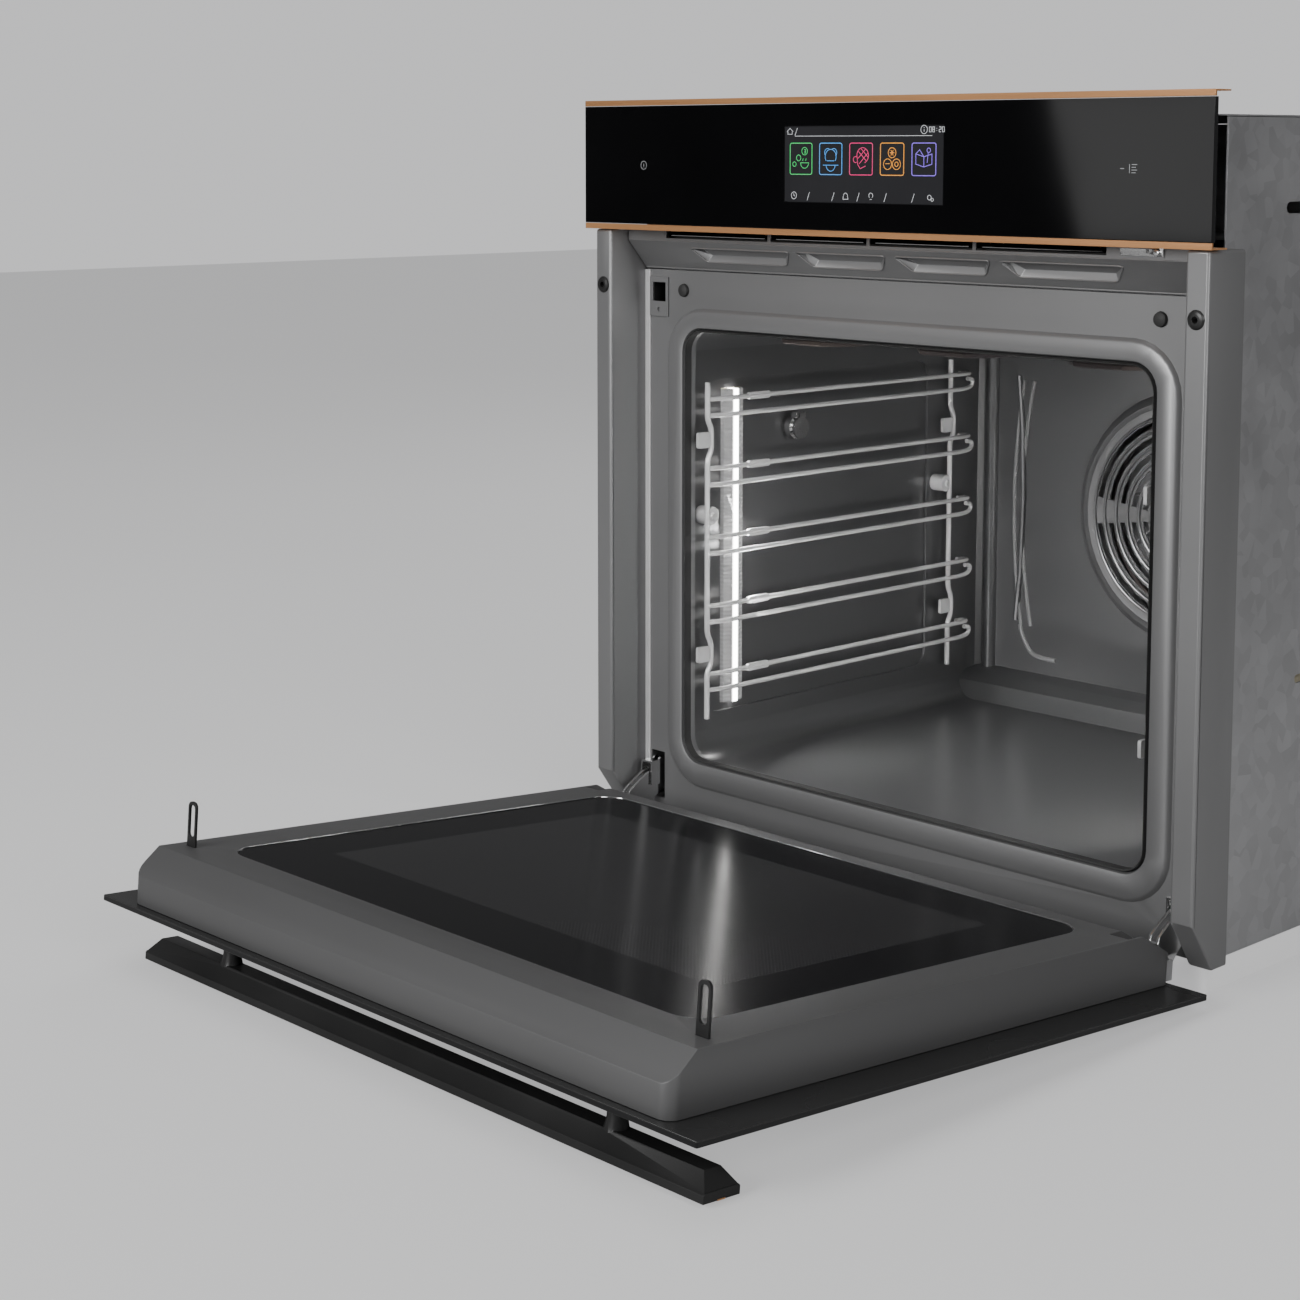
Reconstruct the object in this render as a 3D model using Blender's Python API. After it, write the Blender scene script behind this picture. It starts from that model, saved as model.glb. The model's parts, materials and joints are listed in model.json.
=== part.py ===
"""Built-in wall oven, door open, as separate named solids.

Frame: +Z up, +Y into the wall, X = 0 on the centre line, Z = 0 on the underside of the base.
Pieces are drawn with Y = 0 on the face of the control panel; at the end everything moves
forward by ORIGIN_Y, which puts the origin on the base itself.  Lengths below are millimetres
unless a name says otherwise; they become metres where a mesh is made.  Door pieces are drawn
shut, about the hinge axis, and their objects carry the opening angle.
"""

import math

import bmesh
import bpy
import numpy as np
from mathutils import Vector
from mathutils.geometry import tessellate_polygon

MM = 0.001

ORIGIN_Y = 300.0

# ---- front and panel
FRONT_HALF = 298.5
PANEL_TOP, PANEL_BOTTOM = 592.0, 489.2
TRIM_HIGH = 4.5
GLASS_THICK = 4.0
DISPLAY_HALF, DISPLAY_LOW, DISPLAY_HIGH = 76.2, 514.5, 570.0

# ---- door
HINGE_Y, HINGE_Z = 16.1, 3.8
DOOR_OPEN_DEG = 85.5
DOOR_TOP = 483.0
BOX_HALF, BOX_FACE, BOX_LOW, BOX_TOP = 270.0, 42.0, 1.0, 477.0
WINDOW_HALF, WINDOW_LOW, WINDOW_HIGH = 236.0, 53.7, 424.7
HANDLE_HALF, HANDLE_MID, HANDLE_HIGH, HANDLE_OUT = 281.0, 442.7, 29.0, 42.0

# ---- front frame and columns
FRAME_Y, SHEET = 46.0, 1.2
FRAME_HALF, FRAME_LOW, FRAME_TOP = 274.0, 3.0, 455.5
OPEN_HALF, OPEN_LOW, OPEN_HIGH, OPEN_R = 229.0, 50.7, 409.0, 20.0
COLUMN_IN, COLUMN_OUT, COLUMN_Y = 274.8, 293.3, 6.5

# ---- cavity, casing
CAV_HALF, CAV_LOW, CAV_HIGH, CAV_REAR = 231.2, 48.5, 411.2, 432.0
CASE_HALF, CASE_FRONT, CASE_REAR, CASE_TOP = 277.0, 49.0, 546.0, 577.0
FAN_Z, FAN_COVER_R = 236.0, 112.0
BLOWER_Y = 330.0
RACK_X, RACK_FRONT, RACK_REAR, RACK_END = 214.0, 61.0, 372.0, 392.0
RACK_TOP, RACK_PITCH, RACK_PAIR, RACK_LEVELS = 350.3, 57.2, 13.6, 5

VENT_EDGES = (-231.5, -116.0, -15.0, 85.0, 200.5)
WINDOW_EDGES = ((-207.0, -98.8), (-92.3, -1.6), (6.3, 96.1), (104.4, 210.5))

COLOURS = {
    "glass_black": ((0.004, 0.004, 0.005), 0.0, 0.06),
    "copper": ((0.62, 0.36, 0.20), 1.0, 0.22),
    "enamel": ((0.10, 0.10, 0.105), 0.2, 0.25),
    "frame_steel": ((0.22, 0.22, 0.225), 0.8, 0.35),
    "chrome": ((0.75, 0.75, 0.76), 1.0, 0.12),
    "galvanised": ((0.45, 0.46, 0.47), 0.9, 0.45),
    "black_metal": ((0.015, 0.015, 0.016), 0.6, 0.35),
    "rubber": ((0.02, 0.02, 0.02), 0.0, 0.8),
    "screen": ((0.02, 0.05, 0.08), 0.0, 0.1),
    "board": ((0.02, 0.12, 0.05), 0.0, 0.5),
    "wool": ((0.72, 0.69, 0.60), 0.0, 0.95),
    "plastic": ((0.05, 0.05, 0.05), 0.0, 0.5),
    "lens": ((0.85, 0.88, 0.9), 0.0, 0.1),
    "element": ((0.16, 0.14, 0.13), 0.8, 0.4),
    "ceramic": ((0.8, 0.79, 0.75), 0.0, 0.6),
}


# ------------------------------------------------------------------ small tools
def clear_scene():
    for data in (bpy.data.objects, bpy.data.meshes, bpy.data.materials):
        for item in list(data):
            data.remove(item)


def material(name, kind):
    colour, metallic, rough = COLOURS[kind]
    mat = bpy.data.materials.new(name + "_mat")
    mat.use_nodes = True
    shader = mat.node_tree.nodes["Principled BSDF"]
    shader.inputs["Base Color"].default_value = (*colour, 1.0)
    shader.inputs["Metallic"].default_value = metallic
    shader.inputs["Roughness"].default_value = rough
    mat.diffuse_color = (*colour, 1.0)
    return mat


def mesh_object(name, verts, faces, kind=None):
    """A mesh from points in millimetres, with its normals turned outward."""
    mesh = bpy.data.meshes.new(name)
    points = np.asarray(verts, float) * MM
    mesh.from_pydata([tuple(p) for p in points], [], [tuple(f) for f in faces])
    work = bmesh.new()
    work.from_mesh(mesh)
    bmesh.ops.remove_doubles(work, verts=work.verts, dist=1e-6)
    bmesh.ops.recalc_face_normals(work, faces=work.faces)
    if work.calc_volume(signed=True) < 0:
        bmesh.ops.reverse_faces(work, faces=work.faces)
    work.to_mesh(mesh)
    work.free()
    obj = bpy.data.objects.new(name, mesh)
    bpy.context.scene.collection.objects.link(obj)
    if kind:
        mesh.materials.append(material(name, kind))
    return obj


def loft(name, rings, kind=None, caps=True):
    """Rings of equal length joined in order.  With caps the two ends are closed by flat
    faces; without, the last ring is joined to the first, as a torus is."""
    count = len(rings[0])
    verts = [p for ring in rings for p in ring]
    faces = []
    for i in range(len(rings) - 1 + (not caps)):
        a, b = i * count, ((i + 1) % len(rings)) * count
        for j in range(count):
            k = (j + 1) % count
            faces.append((a + j, a + k, b + k, b + j))
    if caps:
        faces.append(tuple(reversed(range(count))))
        faces.append(tuple((len(rings) - 1) * count + j for j in range(count)))
    return mesh_object(name, verts, faces, kind)


def slab(name, outer, holes, axis, low, high, kind=None):
    """The outline and its holes, drawn in the plane across axis, pushed from low to high."""
    loops = [list(outer)] + [list(h) for h in holes]
    flat = [p for loop in loops for p in loop]
    tris = tessellate_polygon([[Vector((x, y, 0.0)) for x, y in loop] for loop in loops])

    def place(p, h):
        return {"X": (h, p[0], p[1]), "Y": (p[0], h, p[1]), "Z": (p[0], p[1], h)}[axis]

    n = len(flat)
    verts = [place(p, low) for p in flat] + [place(p, high) for p in flat]
    faces = [tuple(t) for t in tris] + [tuple(i + n for i in reversed(t)) for t in tris]
    start = 0
    for loop in loops:
        m = len(loop)
        for j in range(m):
            k = (j + 1) % m
            faces.append((start + j, start + k, start + k + n, start + j + n))
        start += m
    return mesh_object(name, verts, faces, kind)


def rect(x0, x1, y0, y1):
    return [(x0, y0), (x1, y0), (x1, y1), (x0, y1)]


def box(name, x, y, z, kind=None):
    return slab(name, rect(x[0], x[1], y[0], y[1]), [], "Z", z[0], z[1], kind)


def rounded(x0, x1, y0, y1, r, steps=6):
    """A rectangle with corners of radius r, as 4 (steps + 1) points."""
    points = []
    corners = ((x1 - r, y1 - r, 0), (x0 + r, y1 - r, 90), (x0 + r, y0 + r, 180), (x1 - r, y0 + r, 270))
    for cx, cy, start in corners:
        for i in range(steps + 1):
            a = math.radians(start + 90 * i / steps)
            points.append((cx + r * math.cos(a), cy + r * math.sin(a)))
    return points


def ring_xz(half, low, high, r, y, steps=6):
    return [(x, y, z) for x, z in rounded(-half, half, low, high, r, steps)]


def circle(cx, cy, r, n=24, start=0.0):
    return [
        (cx + r * math.cos(start + 2 * math.pi * i / n), cy + r * math.sin(start + 2 * math.pi * i / n))
        for i in range(n)
    ]


def lathe(name, profile, centre, axis, n=24, kind=None):
    """Profile points (radius, height) turned round an axis through centre; the ends are
    closed where their radius isn't zero."""
    rings = []
    for r, h in profile:
        ring = []
        for i in range(n):
            a = 2 * math.pi * i / n
            u, v = r * math.cos(a), r * math.sin(a)
            offset = {"X": (h, u, v), "Y": (u, h, v), "Z": (u, v, h)}[axis]
            ring.append(tuple(c + o for c, o in zip(centre, offset)))
        rings.append(ring)
    return loft(name, rings, kind)


def turned_ring(name, profile, centre, axis, n=32, kind=None):
    """A closed profile (radius, height), none of it on the axis, turned into a ring."""
    rings = []
    for r, h in profile:
        ring = []
        for i in range(n):
            a = 2 * math.pi * i / n
            u, v = r * math.cos(a), r * math.sin(a)
            offset = {"X": (h, u, v), "Y": (u, h, v), "Z": (u, v, h)}[axis]
            ring.append(tuple(c + o for c, o in zip(centre, offset)))
        rings.append(ring)
    return loft(name, rings, kind, caps=False)


def tube(name, path, r, n=8, kind=None):
    """A round wire along a path of points: each ring lies in the plane that halves the bend."""
    points = [Vector(p) for p in path]
    rings, side = [], None
    for i, p in enumerate(points):
        before = (p - points[i - 1]).normalized() if i else (points[1] - p).normalized()
        after = (points[i + 1] - p).normalized() if i + 1 < len(points) else before
        along = (before + after).normalized()
        if side is None:
            side = along.orthogonal().normalized()
        side = (side - along * side.dot(along)).normalized()
        other = along.cross(side)
        wide = 1.0 / max(0.5, before.dot(along))
        bend = (after - before).normalized() if (after - before).length > 1e-6 else side
        ring = []
        for k in range(n):
            a = 2 * math.pi * k / n
            v = side * math.cos(a) + other * math.sin(a)
            v = v + bend * (v.dot(bend) * (wide - 1.0))
            ring.append(tuple(p + v * r))
        rings.append(ring)
    return loft(name, rings, kind)


def arc(cx, cy, r, start, end, steps):
    return [
        (
            cx + r * math.cos(math.radians(start + (end - start) * i / steps)),
            cy + r * math.sin(math.radians(start + (end - start) * i / steps)),
        )
        for i in range(steps + 1)
    ]


def tidy(mesh):
    """Closes the hair cracks that a cut along a shared edge can leave."""
    work = bmesh.new()
    work.from_mesh(mesh)
    bmesh.ops.remove_doubles(work, verts=work.verts, dist=2e-6)
    bmesh.ops.dissolve_degenerate(work, edges=work.edges, dist=1e-6)
    work.to_mesh(mesh)
    work.free()


def boolean(obj, other, operation):
    mod = obj.modifiers.new("shape", "BOOLEAN")
    mod.operation, mod.solver, mod.object = operation, "EXACT", other
    baked = bpy.data.meshes.new_from_object(
        obj.evaluated_get(bpy.context.evaluated_depsgraph_get())
    )
    obj.modifiers.clear()
    obj.data = baked
    bpy.data.objects.remove(other)
    return obj


def cut(obj, *others):
    for other in others:
        boolean(obj, other, "DIFFERENCE")
    return obj


def join(obj, *others):
    for other in others:
        boolean(obj, other, "UNION")
    return obj


def soften(obj, width, segments=1, angle=40):
    """Bevels the sharp edges of a plain body and bakes the result."""
    mod = obj.modifiers.new("edge", "BEVEL")
    mod.width, mod.segments = width * MM, segments
    mod.limit_method, mod.angle_limit = "ANGLE", math.radians(angle)
    mod.use_clamp_overlap = True
    obj.data = bpy.data.meshes.new_from_object(
        obj.evaluated_get(bpy.context.evaluated_depsgraph_get())
    )
    obj.modifiers.clear()
    return obj


def pivot(obj, x, y, z):
    """Puts the object's origin on a joint axis without moving its shape."""
    shift = Vector((x, y, z)) * MM
    for v in obj.data.vertices:
        v.co -= shift
    obj.location = shift
    return obj


def on_door(*objects):
    """Turns pieces that were drawn shut to the open door, about the hinge axis."""
    for obj in objects:
        pivot(obj, 0.0, HINGE_Y, HINGE_Z)
        obj.rotation_euler.x = math.radians(DOOR_OPEN_DEG)


def side_x(sign, inner, outer):
    """The X range between two distances from the middle, on one side."""
    return (inner, outer) if sign > 0 else (-outer, -inner)


SIDES = (("left", -1), ("right", 1))


# ------------------------------------------------------------------ control panel
def make_control_panel():
    low, high = PANEL_BOTTOM + TRIM_HIGH + 0.3, PANEL_TOP - TRIM_HIGH - 0.3
    window = rect(-DISPLAY_HALF - 0.4, DISPLAY_HALF + 0.4, DISPLAY_LOW - 0.4, DISPLAY_HIGH + 0.4)
    slab(
        "panel_glass", rect(-FRONT_HALF, FRONT_HALF, low, high), [window], "Y", 0.0, GLASS_THICK,
        "glass_black",
    )
    for name, z0, z1, leg in (
        ("panel_trim_top", PANEL_TOP - TRIM_HIGH, PANEL_TOP, PANEL_TOP - 1.2),
        ("panel_trim_bottom", PANEL_BOTTOM, PANEL_BOTTOM + TRIM_HIGH, PANEL_BOTTOM),
    ):
        face = rect(0.0, 2.0, z0, z1)
        if leg > z0:
            face = [(0, z0), (2, z0), (2, leg), (18, leg), (18, z1), (0, z1)]
        else:
            face = [(0, z0), (18, z0), (18, z0 + 1.2), (2, z0 + 1.2), (2, z1), (0, z1)]
        slab(name, face, [], "X", -FRONT_HALF, FRONT_HALF, "copper")
    tray = box("panel_carrier", (-270, 270), (4.4, 45), (494.5, 583.5), "galvanised")
    cut(
        tray,
        box("c", (-268.5, 268.5), (6, 46), (496, 582)),
        box("c", (-80, 80), (4, 7), (511, 573.5)),
    )
    screen = box(
        "touch_display", (-DISPLAY_HALF, DISPLAY_HALF), (0.1, 12), (DISPLAY_LOW, DISPLAY_HIGH), "screen"
    )
    join(screen, box("c", (-79, 79), (6.5, 13), (512, 573)))
    board = box("control_board", (-105, 105), (20, 21.6), (506, 574), "board")
    join(
        board,
        box("c", (-60, -38), (21, 24.6), (530, 552)),
        box("c", (10, 24), (21, 24), (536, 550)),
        box("c", (70, 96), (21, 30), (516, 528)),
        box("c", (-98, -80), (21, 31), (552, 568)),
    )


# ------------------------------------------------------------------ front frame
def make_front():
    steps = 7
    low, high = OPEN_LOW, OPEN_HIGH
    section = (
        (FRAME_HALF, FRAME_LOW, FRAME_TOP, 1.0, FRAME_Y),
        (248.4, 29.5, 425.5, 40.0, FRAME_Y),
        (246.6, 31.2, 423.8, 38.2, FRAME_Y - 2.2),
        (244.6, 33.2, 421.8, 36.2, FRAME_Y - 3.2),
        (232.4, low - 3.4, high + 3.4, 23.4, FRAME_Y - 3.4),
        (229.9, low - 0.9, high + 0.9, 20.9, FRAME_Y - 2.6),
        (OPEN_HALF, low, high, OPEN_R, FRAME_Y - 0.6),
        (OPEN_HALF, low, high, OPEN_R, 58.0),
        (OPEN_HALF + 1.0, low - 1.0, high + 1.0, OPEN_R + 1.0, 58.0),
        (OPEN_HALF + 1.0, low - 1.0, high + 1.0, OPEN_R + 1.0, FRAME_Y + SHEET),
        (FRAME_HALF, FRAME_LOW, FRAME_TOP, 1.0, FRAME_Y + SHEET),
    )
    frame = loft(
        "front_frame", [ring_xz(h, a, b, r, y, steps) for h, a, b, r, y in section],
        "frame_steel", caps=False,
    )
    for _, sign in SIDES:
        x0, x1 = side_x(sign, 252.6, 268.0)
        cut(frame, box("c", (x0, x1), (30, 60), (12, 52)))
        x0, x1 = side_x(sign, 249.5, 266.5)
        cut(frame, box("c", (x0, x1), (40, 60), (427.5, 446.5)))
        cut(frame, slab("c", circle(sign * 230.0, 439.3, 2.3, 12), [], "Y", 40, 60))

    for side, sign in SIDES:
        x0, x1 = side_x(sign, COLUMN_IN, COLUMN_OUT)
        outline = [
            (COLUMN_Y, 488.6), (COLUMN_Y, 39.0), (20.7, 19.0), (31.0, 3.0), (54.0, 3.0), (54.0, 488.6),
        ]
        column = slab("column_" + side, outline, [], "X", x0, x1, "frame_steel")
        soften(column, 2.0, 2)
        t = 1.3
        inner = [
            (COLUMN_Y + t, 487.0), (COLUMN_Y + t, 39.4), (22.0, 19.4), (32.2, 4.6), (64, 4.6), (64, 487.0),
        ]
        cut(column, slab("c", inner, [], "X", x0 + t, x1 - t))
        cut(column, box("c", (x0 - 5, x1 + 5), (48.0, 60.0), (-5, 500)))
        cut(column, slab("c", circle(sign * 284.0, 443.5, 3.5, 24), [], "Y", 0, 12))
        turned_ring(
            "fixing_bush_" + side,
            [(2.3, 4.5), (3.8, 4.6), (5.7, 5.2), (6.8, 6.4), (3.1, 6.4), (3.1, 12.0), (2.3, 12.0)],
            (sign * 284.0, 0.0, 443.5), "Y", 24, "frame_steel",
        )
        lathe(
            "door_buffer_" + side,
            [(0.01, 42.7), (3.4, 42.8), (5.0, 43.6), (5.6, 45.7), (1.9, 45.7), (1.9, 49), (0.01, 49)],
            (sign * 230.0, 0.0, 439.3), "Y", 16, "rubber",
        )

    seal = [
        (OPEN_HALF - 2.3, OPEN_LOW + 2.3, OPEN_HIGH - 2.3, OPEN_R - 2.3, 43.4),
        (OPEN_HALF - 1.4, OPEN_LOW + 1.4, OPEN_HIGH - 1.4, OPEN_R - 1.4, 42.7),
        (OPEN_HALF - 0.4, OPEN_LOW + 0.4, OPEN_HIGH - 0.4, OPEN_R - 0.4, 45.6),
        (OPEN_HALF - 0.4, OPEN_LOW + 0.4, OPEN_HIGH - 0.4, OPEN_R - 0.4, 52.0),
        (OPEN_HALF - 2.3, OPEN_LOW + 2.3, OPEN_HIGH - 2.3, OPEN_R - 2.3, 51.0),
    ]
    loft("door_gasket", [ring_xz(h, a, b, r, y, steps) for h, a, b, r, y in seal], "rubber", caps=False)


def make_deflector():
    section = [
        (25.0, 491.6), (25.0, 479.5), (45.7, 456.3), (54.0, 456.3), (54.0, 461.0), (34.5, 481.0),
        (26.4, 481.0), (26.4, 491.6),
    ]
    sheet = slab("air_deflector", section, [], "X", -273.8, 273.8, "frame_steel")
    along = Vector((0.0, 20.7, -23.2)).normalized()
    inward = Vector((0.0, 23.2, 20.7)).normalized()
    start = Vector((0.0, 25.0, 479.5))

    def at(x, down, deep):
        return tuple(start + Vector((x, 0, 0)) + along * down + inward * deep)

    for x0, x1 in WINDOW_EDGES:
        rings = []
        for deep in (-1.0, 5.2):
            inset = deep * 0.62
            top, bottom = 6.2 + inset, 21.5 - inset
            rings.append(
                [
                    at(x0 + inset, top, deep), at(x1 - inset, top, deep),
                    at(x1 - inset - 11, bottom, deep), at(x0 + inset + 11, bottom, deep),
                ]
            )
        cut(sheet, loft("c", rings))
    for x0, x1 in zip(VENT_EDGES[:-1], VENT_EDGES[1:]):
        cut(sheet, box("c", (x0 + 1.6, x1 - 1.6), (20, 30), (482.3, 489.3)))
    cut(sheet, slab("c", circle(241.2, 485.6, 1.6, 12), [], "Y", 20, 30))
    clip = box("panel_latch", (211.5, 246.0), (23.2, 24.6), (482.6, 489.0), "chrome")
    join(clip, box("c", (213.0, 233.5), (21.4, 24.0), (484.6, 487.6)))
    join(
        clip,
        lathe("c", [(0.01, 21.3), (2.2, 21.6), (2.8, 23.4), (1.3, 23.4), (1.3, 30.0), (0.01, 30.0)],
              (241.2, 0, 485.6), "Y", 12),
    )
    duct = box("air_duct", (-236, 236), (34.8, 262), (482.0, 491.4), "galvanised")
    cut(duct, box("c", (-234.8, 234.8), (30, 270), (483.0, 490.4)))


# ------------------------------------------------------------------ cavity
def make_cavity():
    steps = 5
    inner = [
        (CAV_HALF, CAV_LOW, CAV_HIGH, 22.0, 47.6),
        (CAV_HALF, CAV_LOW, CAV_HIGH, 22.0, 418.0),
        (CAV_HALF - 2.0, CAV_LOW + 2.0, CAV_HIGH - 2.0, 21.0, 426.0),
        (CAV_HALF - 8.0, CAV_LOW + 8.0, CAV_HIGH - 8.0, 18.0, CAV_REAR),
    ]
    outer = [
        (CAV_HALF + 4.3, CAV_LOW - 2.0, CAV_HIGH + 2.0, 24.0, 433.6),
        (CAV_HALF + 4.3, CAV_LOW - 2.0, CAV_HIGH + 2.0, 24.0, 47.6),
    ]
    rings = [ring_xz(h, a, b, r, y, steps) for h, a, b, r, y in reversed(inner)]
    rings += [ring_xz(h, a, b, r, y, steps) for h, a, b, r, y in reversed(outer)]
    liner = loft("cavity_liner", rings, "enamel")
    for sign in (-1, 1):
        panel = rounded(74.0, 356.0, 84.0, 364.0, 14.0, 4)
        x0, x1 = side_x(sign, 225.0, CAV_HALF + 2.4)
        cut(liner, slab("c", panel, [], "X", x0, x1))
        bead = [(sign * (216.5 + 7.5 * math.cos(a)), 433 + 7.5 * math.sin(a))
                for a in [math.radians(-180 + 20 * i) for i in range(10)]]
        join(liner, slab("c", bead, [], "Z", CAV_LOW - 0.5, CAV_HIGH + 0.5))
        path = [(sign * 186.0, 431.6, 348.0), (sign * 181.0, 431.2, 300.0), (sign * 179.0, 431.2, 235.0),
                (sign * 181.0, 431.2, 170.0), (sign * 186.0, 431.6, 122.0)]
        join(liner, tube("c", path, 2.6, 8))
    step = [(434.0, 47.5), (434.0, 76.0), (431.0, 75.0), (416.0, 71.5), (405.0, 64.0), (398.0, 47.5)]
    ledge = slab("c", step, [], "X", -CAV_HALF - 2, CAV_HALF + 2)
    inside = rounded(-CAV_HALF - 2, CAV_HALF + 2, CAV_LOW - 1, CAV_HIGH + 1, 23.0, steps)
    join(liner, boolean(ledge, slab("c", inside, [], "Y", 390, 440), "INTERSECT"))
    cut(
        liner,
        slab("c", circle(0, FAN_Z, 103.0, 40), [], "Y", 425, 440),
        slab("c", circle(-60, 396.0, 4.4, 12), [], "Y", 420, 440),
        slab("c", circle(60, 396.0, 4.4, 12), [], "Y", 420, 440),
        slab("c", circle(176.0, 317.5, 7.0, 16), [], "X", -245, -225),
    )
    for sign in (-1, 1):
        x0, x1 = side_x(sign, 225.0, 240.0)
        cut(liner, box("c", (x0, x1), (92, 116), (90, 356)))

    chamber = turned_ring(
        "fan_chamber",
        [(6.5, 466.0), (112.0, 466.0), (118.0, 462.0), (118.0, 434.0), (126.0, 434.0), (126.0, 435.3),
         (119.3, 435.3), (119.3, 463.0), (112.6, 467.3), (6.5, 467.3)],
        (0, 0, FAN_Z), "Y", 40, "galvanised",
    )
    for x in (-30, 30):
        cut(chamber, slab("c", circle(x, FAN_Z + 92.0, 4.4, 12), [], "Y", 460, 470))

    slots = []
    for r0, r1 in ((24, 29), (36, 41), (48, 53), (60, 65), (72, 77), (84, 89)):
        for q in range(4):
            a0 = 90 * q + 8
            slots.append(arc(0, FAN_Z, r1, a0, a0 + 74, 6) + arc(0, FAN_Z, r0, a0 + 74, a0, 6))
    cover = slab("fan_cover", circle(0, FAN_Z, 104.0, 40), slots, "Y", 420.0, 421.3, "enamel")
    join(
        cover,
        turned_ring(
            "c",
            [(FAN_COVER_R, 431.6), (FAN_COVER_R - 1, 426.0), (FAN_COVER_R - 6, 421.6), (99.0, 419.4),
             (96.0, 420.5), (99.0, 421.0), (FAN_COVER_R - 7, 423.0), (FAN_COVER_R - 2.4, 427.0),
             (FAN_COVER_R - 1.4, 431.6)],
            (0, 0, FAN_Z), "Y", 40,
        ),
        lathe("c", [(0.01, 417.6), (9.0, 418.0), (12.0, 420.6), (0.01, 420.6)], (0, 0, FAN_Z), "Y", 16),
    )

    half = [(-60, 470, 396), (-60, 420, 396), (-60, 396, 400), (-68, 382, 400), (-164, 382, 400),
            (-180, 366, 400), (-180, 112, 400), (-164, 96, 400), (-124, 96, 400), (-108, 112, 400),
            (-108, 338, 400), (-92, 354, 400), (-52, 354, 400), (-36, 338, 400), (-36, 112, 400),
            (-20, 96, 400)]
    tube("grill_element", half + [(-x, y, z) for x, y, z in reversed(half)], 3.3, 8, "element")
    under = [(-40, 470, 41.0), (-40, 400, 41.0)]
    under += [(-x, y, z) for x, y, z in ((190, 392, 41), (200, 380, 41), (200, 110, 41), (190, 98, 41))]
    under += [(x, y, z) for x, y, z in ((190, 98, 41), (200, 110, 41), (200, 380, 41), (190, 392, 41))]
    under += [(40, 400, 41.0), (40, 470, 41.0)]
    tube("bottom_element", under, 3.3, 8, "element")

    points = arc(0, FAN_Z, 92.0, 108.5, 431.5, 30)
    loop = [(x, 450.0, z) for x, z in points]
    loop = [(-30, 478, FAN_Z + 92), (-30, 456, FAN_Z + 92)] + loop[1:-1]
    loop += [(30, 456, FAN_Z + 92), (30, 478, FAN_Z + 92)]
    tube("ring_heater", loop, 3.2, 8, "element")

    wool = [
        (237.5, 37.0, 415.5, 26.0, 112.0), (237.5, 37.0, 415.5, 26.0, 436.5),
        (110.0, 120.0, 352.0, 60.0, 436.5), (110.0, 120.0, 352.0, 60.0, 456.0),
        (266.0, 10.0, 444.0, 30.0, 456.0), (266.0, 10.0, 444.0, 30.0, 112.0),
    ]
    jacket = loft(
        "insulation_jacket", [ring_xz(h, a, b, r, y, 4) for h, a, b, r, y in wool], "wool", caps=False
    )
    cut(
        jacket,
        slab("c", circle(0, FAN_Z, 130.0, 32), [], "Y", 430, 460),
        box("c", (-70, 70), (430, 460), (386, 408)),
        box("c", (-48, 48), (430, 460), (33, 52)),
        box("c", (-270, -236), (165, 187), (305, 330)),
    )


def make_lights():
    """Prism light bars, let into the side walls near the front."""
    outline = [(226.4, 104.0), (230.4, 115.4), (236.4, 115.4), (236.4, 92.6), (230.4, 92.6)]
    for side, sign in SIDES:
        slab("light_bar_" + side, [(sign * x, y) for x, y in outline], [], "Z", 90.6, 355.4, "lens")


def make_probe():
    body = turned_ring(
        "probe_socket",
        [(2.8, -222.5), (8.6, -222.5), (10.4, -224.2), (10.4, -230.8), (6.4, -230.8), (6.4, -252.0),
         (2.8, -252.0)],
        (0, 176.0, 317.5), "X", 20, "chrome",
    )
    for y in (171.0, 181.0):
        join(body, box("c", (-226, -220.2), (y - 1.2, y + 1.2), (326.0, 331.0)))
    cap = slab("probe_cap", circle(176.0, 317.5, 9.4, 20), [], "X", -221.4, -219.6, "chrome")
    join(
        cap,
        box("c", (-221.4, -219.4), (173.2, 178.8), (322.0, 330.2)),
        lathe("c", [(0.01, 173.2), (1.5, 173.2), (1.5, 178.8), (0.01, 178.8)], (-221.0, 0, 329.2), "Y", 10),
    )
    pivot(cap, -221.0, 176.0, 329.2)


# ------------------------------------------------------------------ side racks
def rack_upright(y, plates, low, high, out):
    """The path of one upright wire, stepped sideways to each flat plate."""
    path = [(out, y, high)]
    for z in plates:
        path += [(out, y, z + 18), (out, y - 5, z + 9), (out, y - 5, z - 9), (out, y, z - 18)]
    return path + [(out, y, low)]


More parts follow.
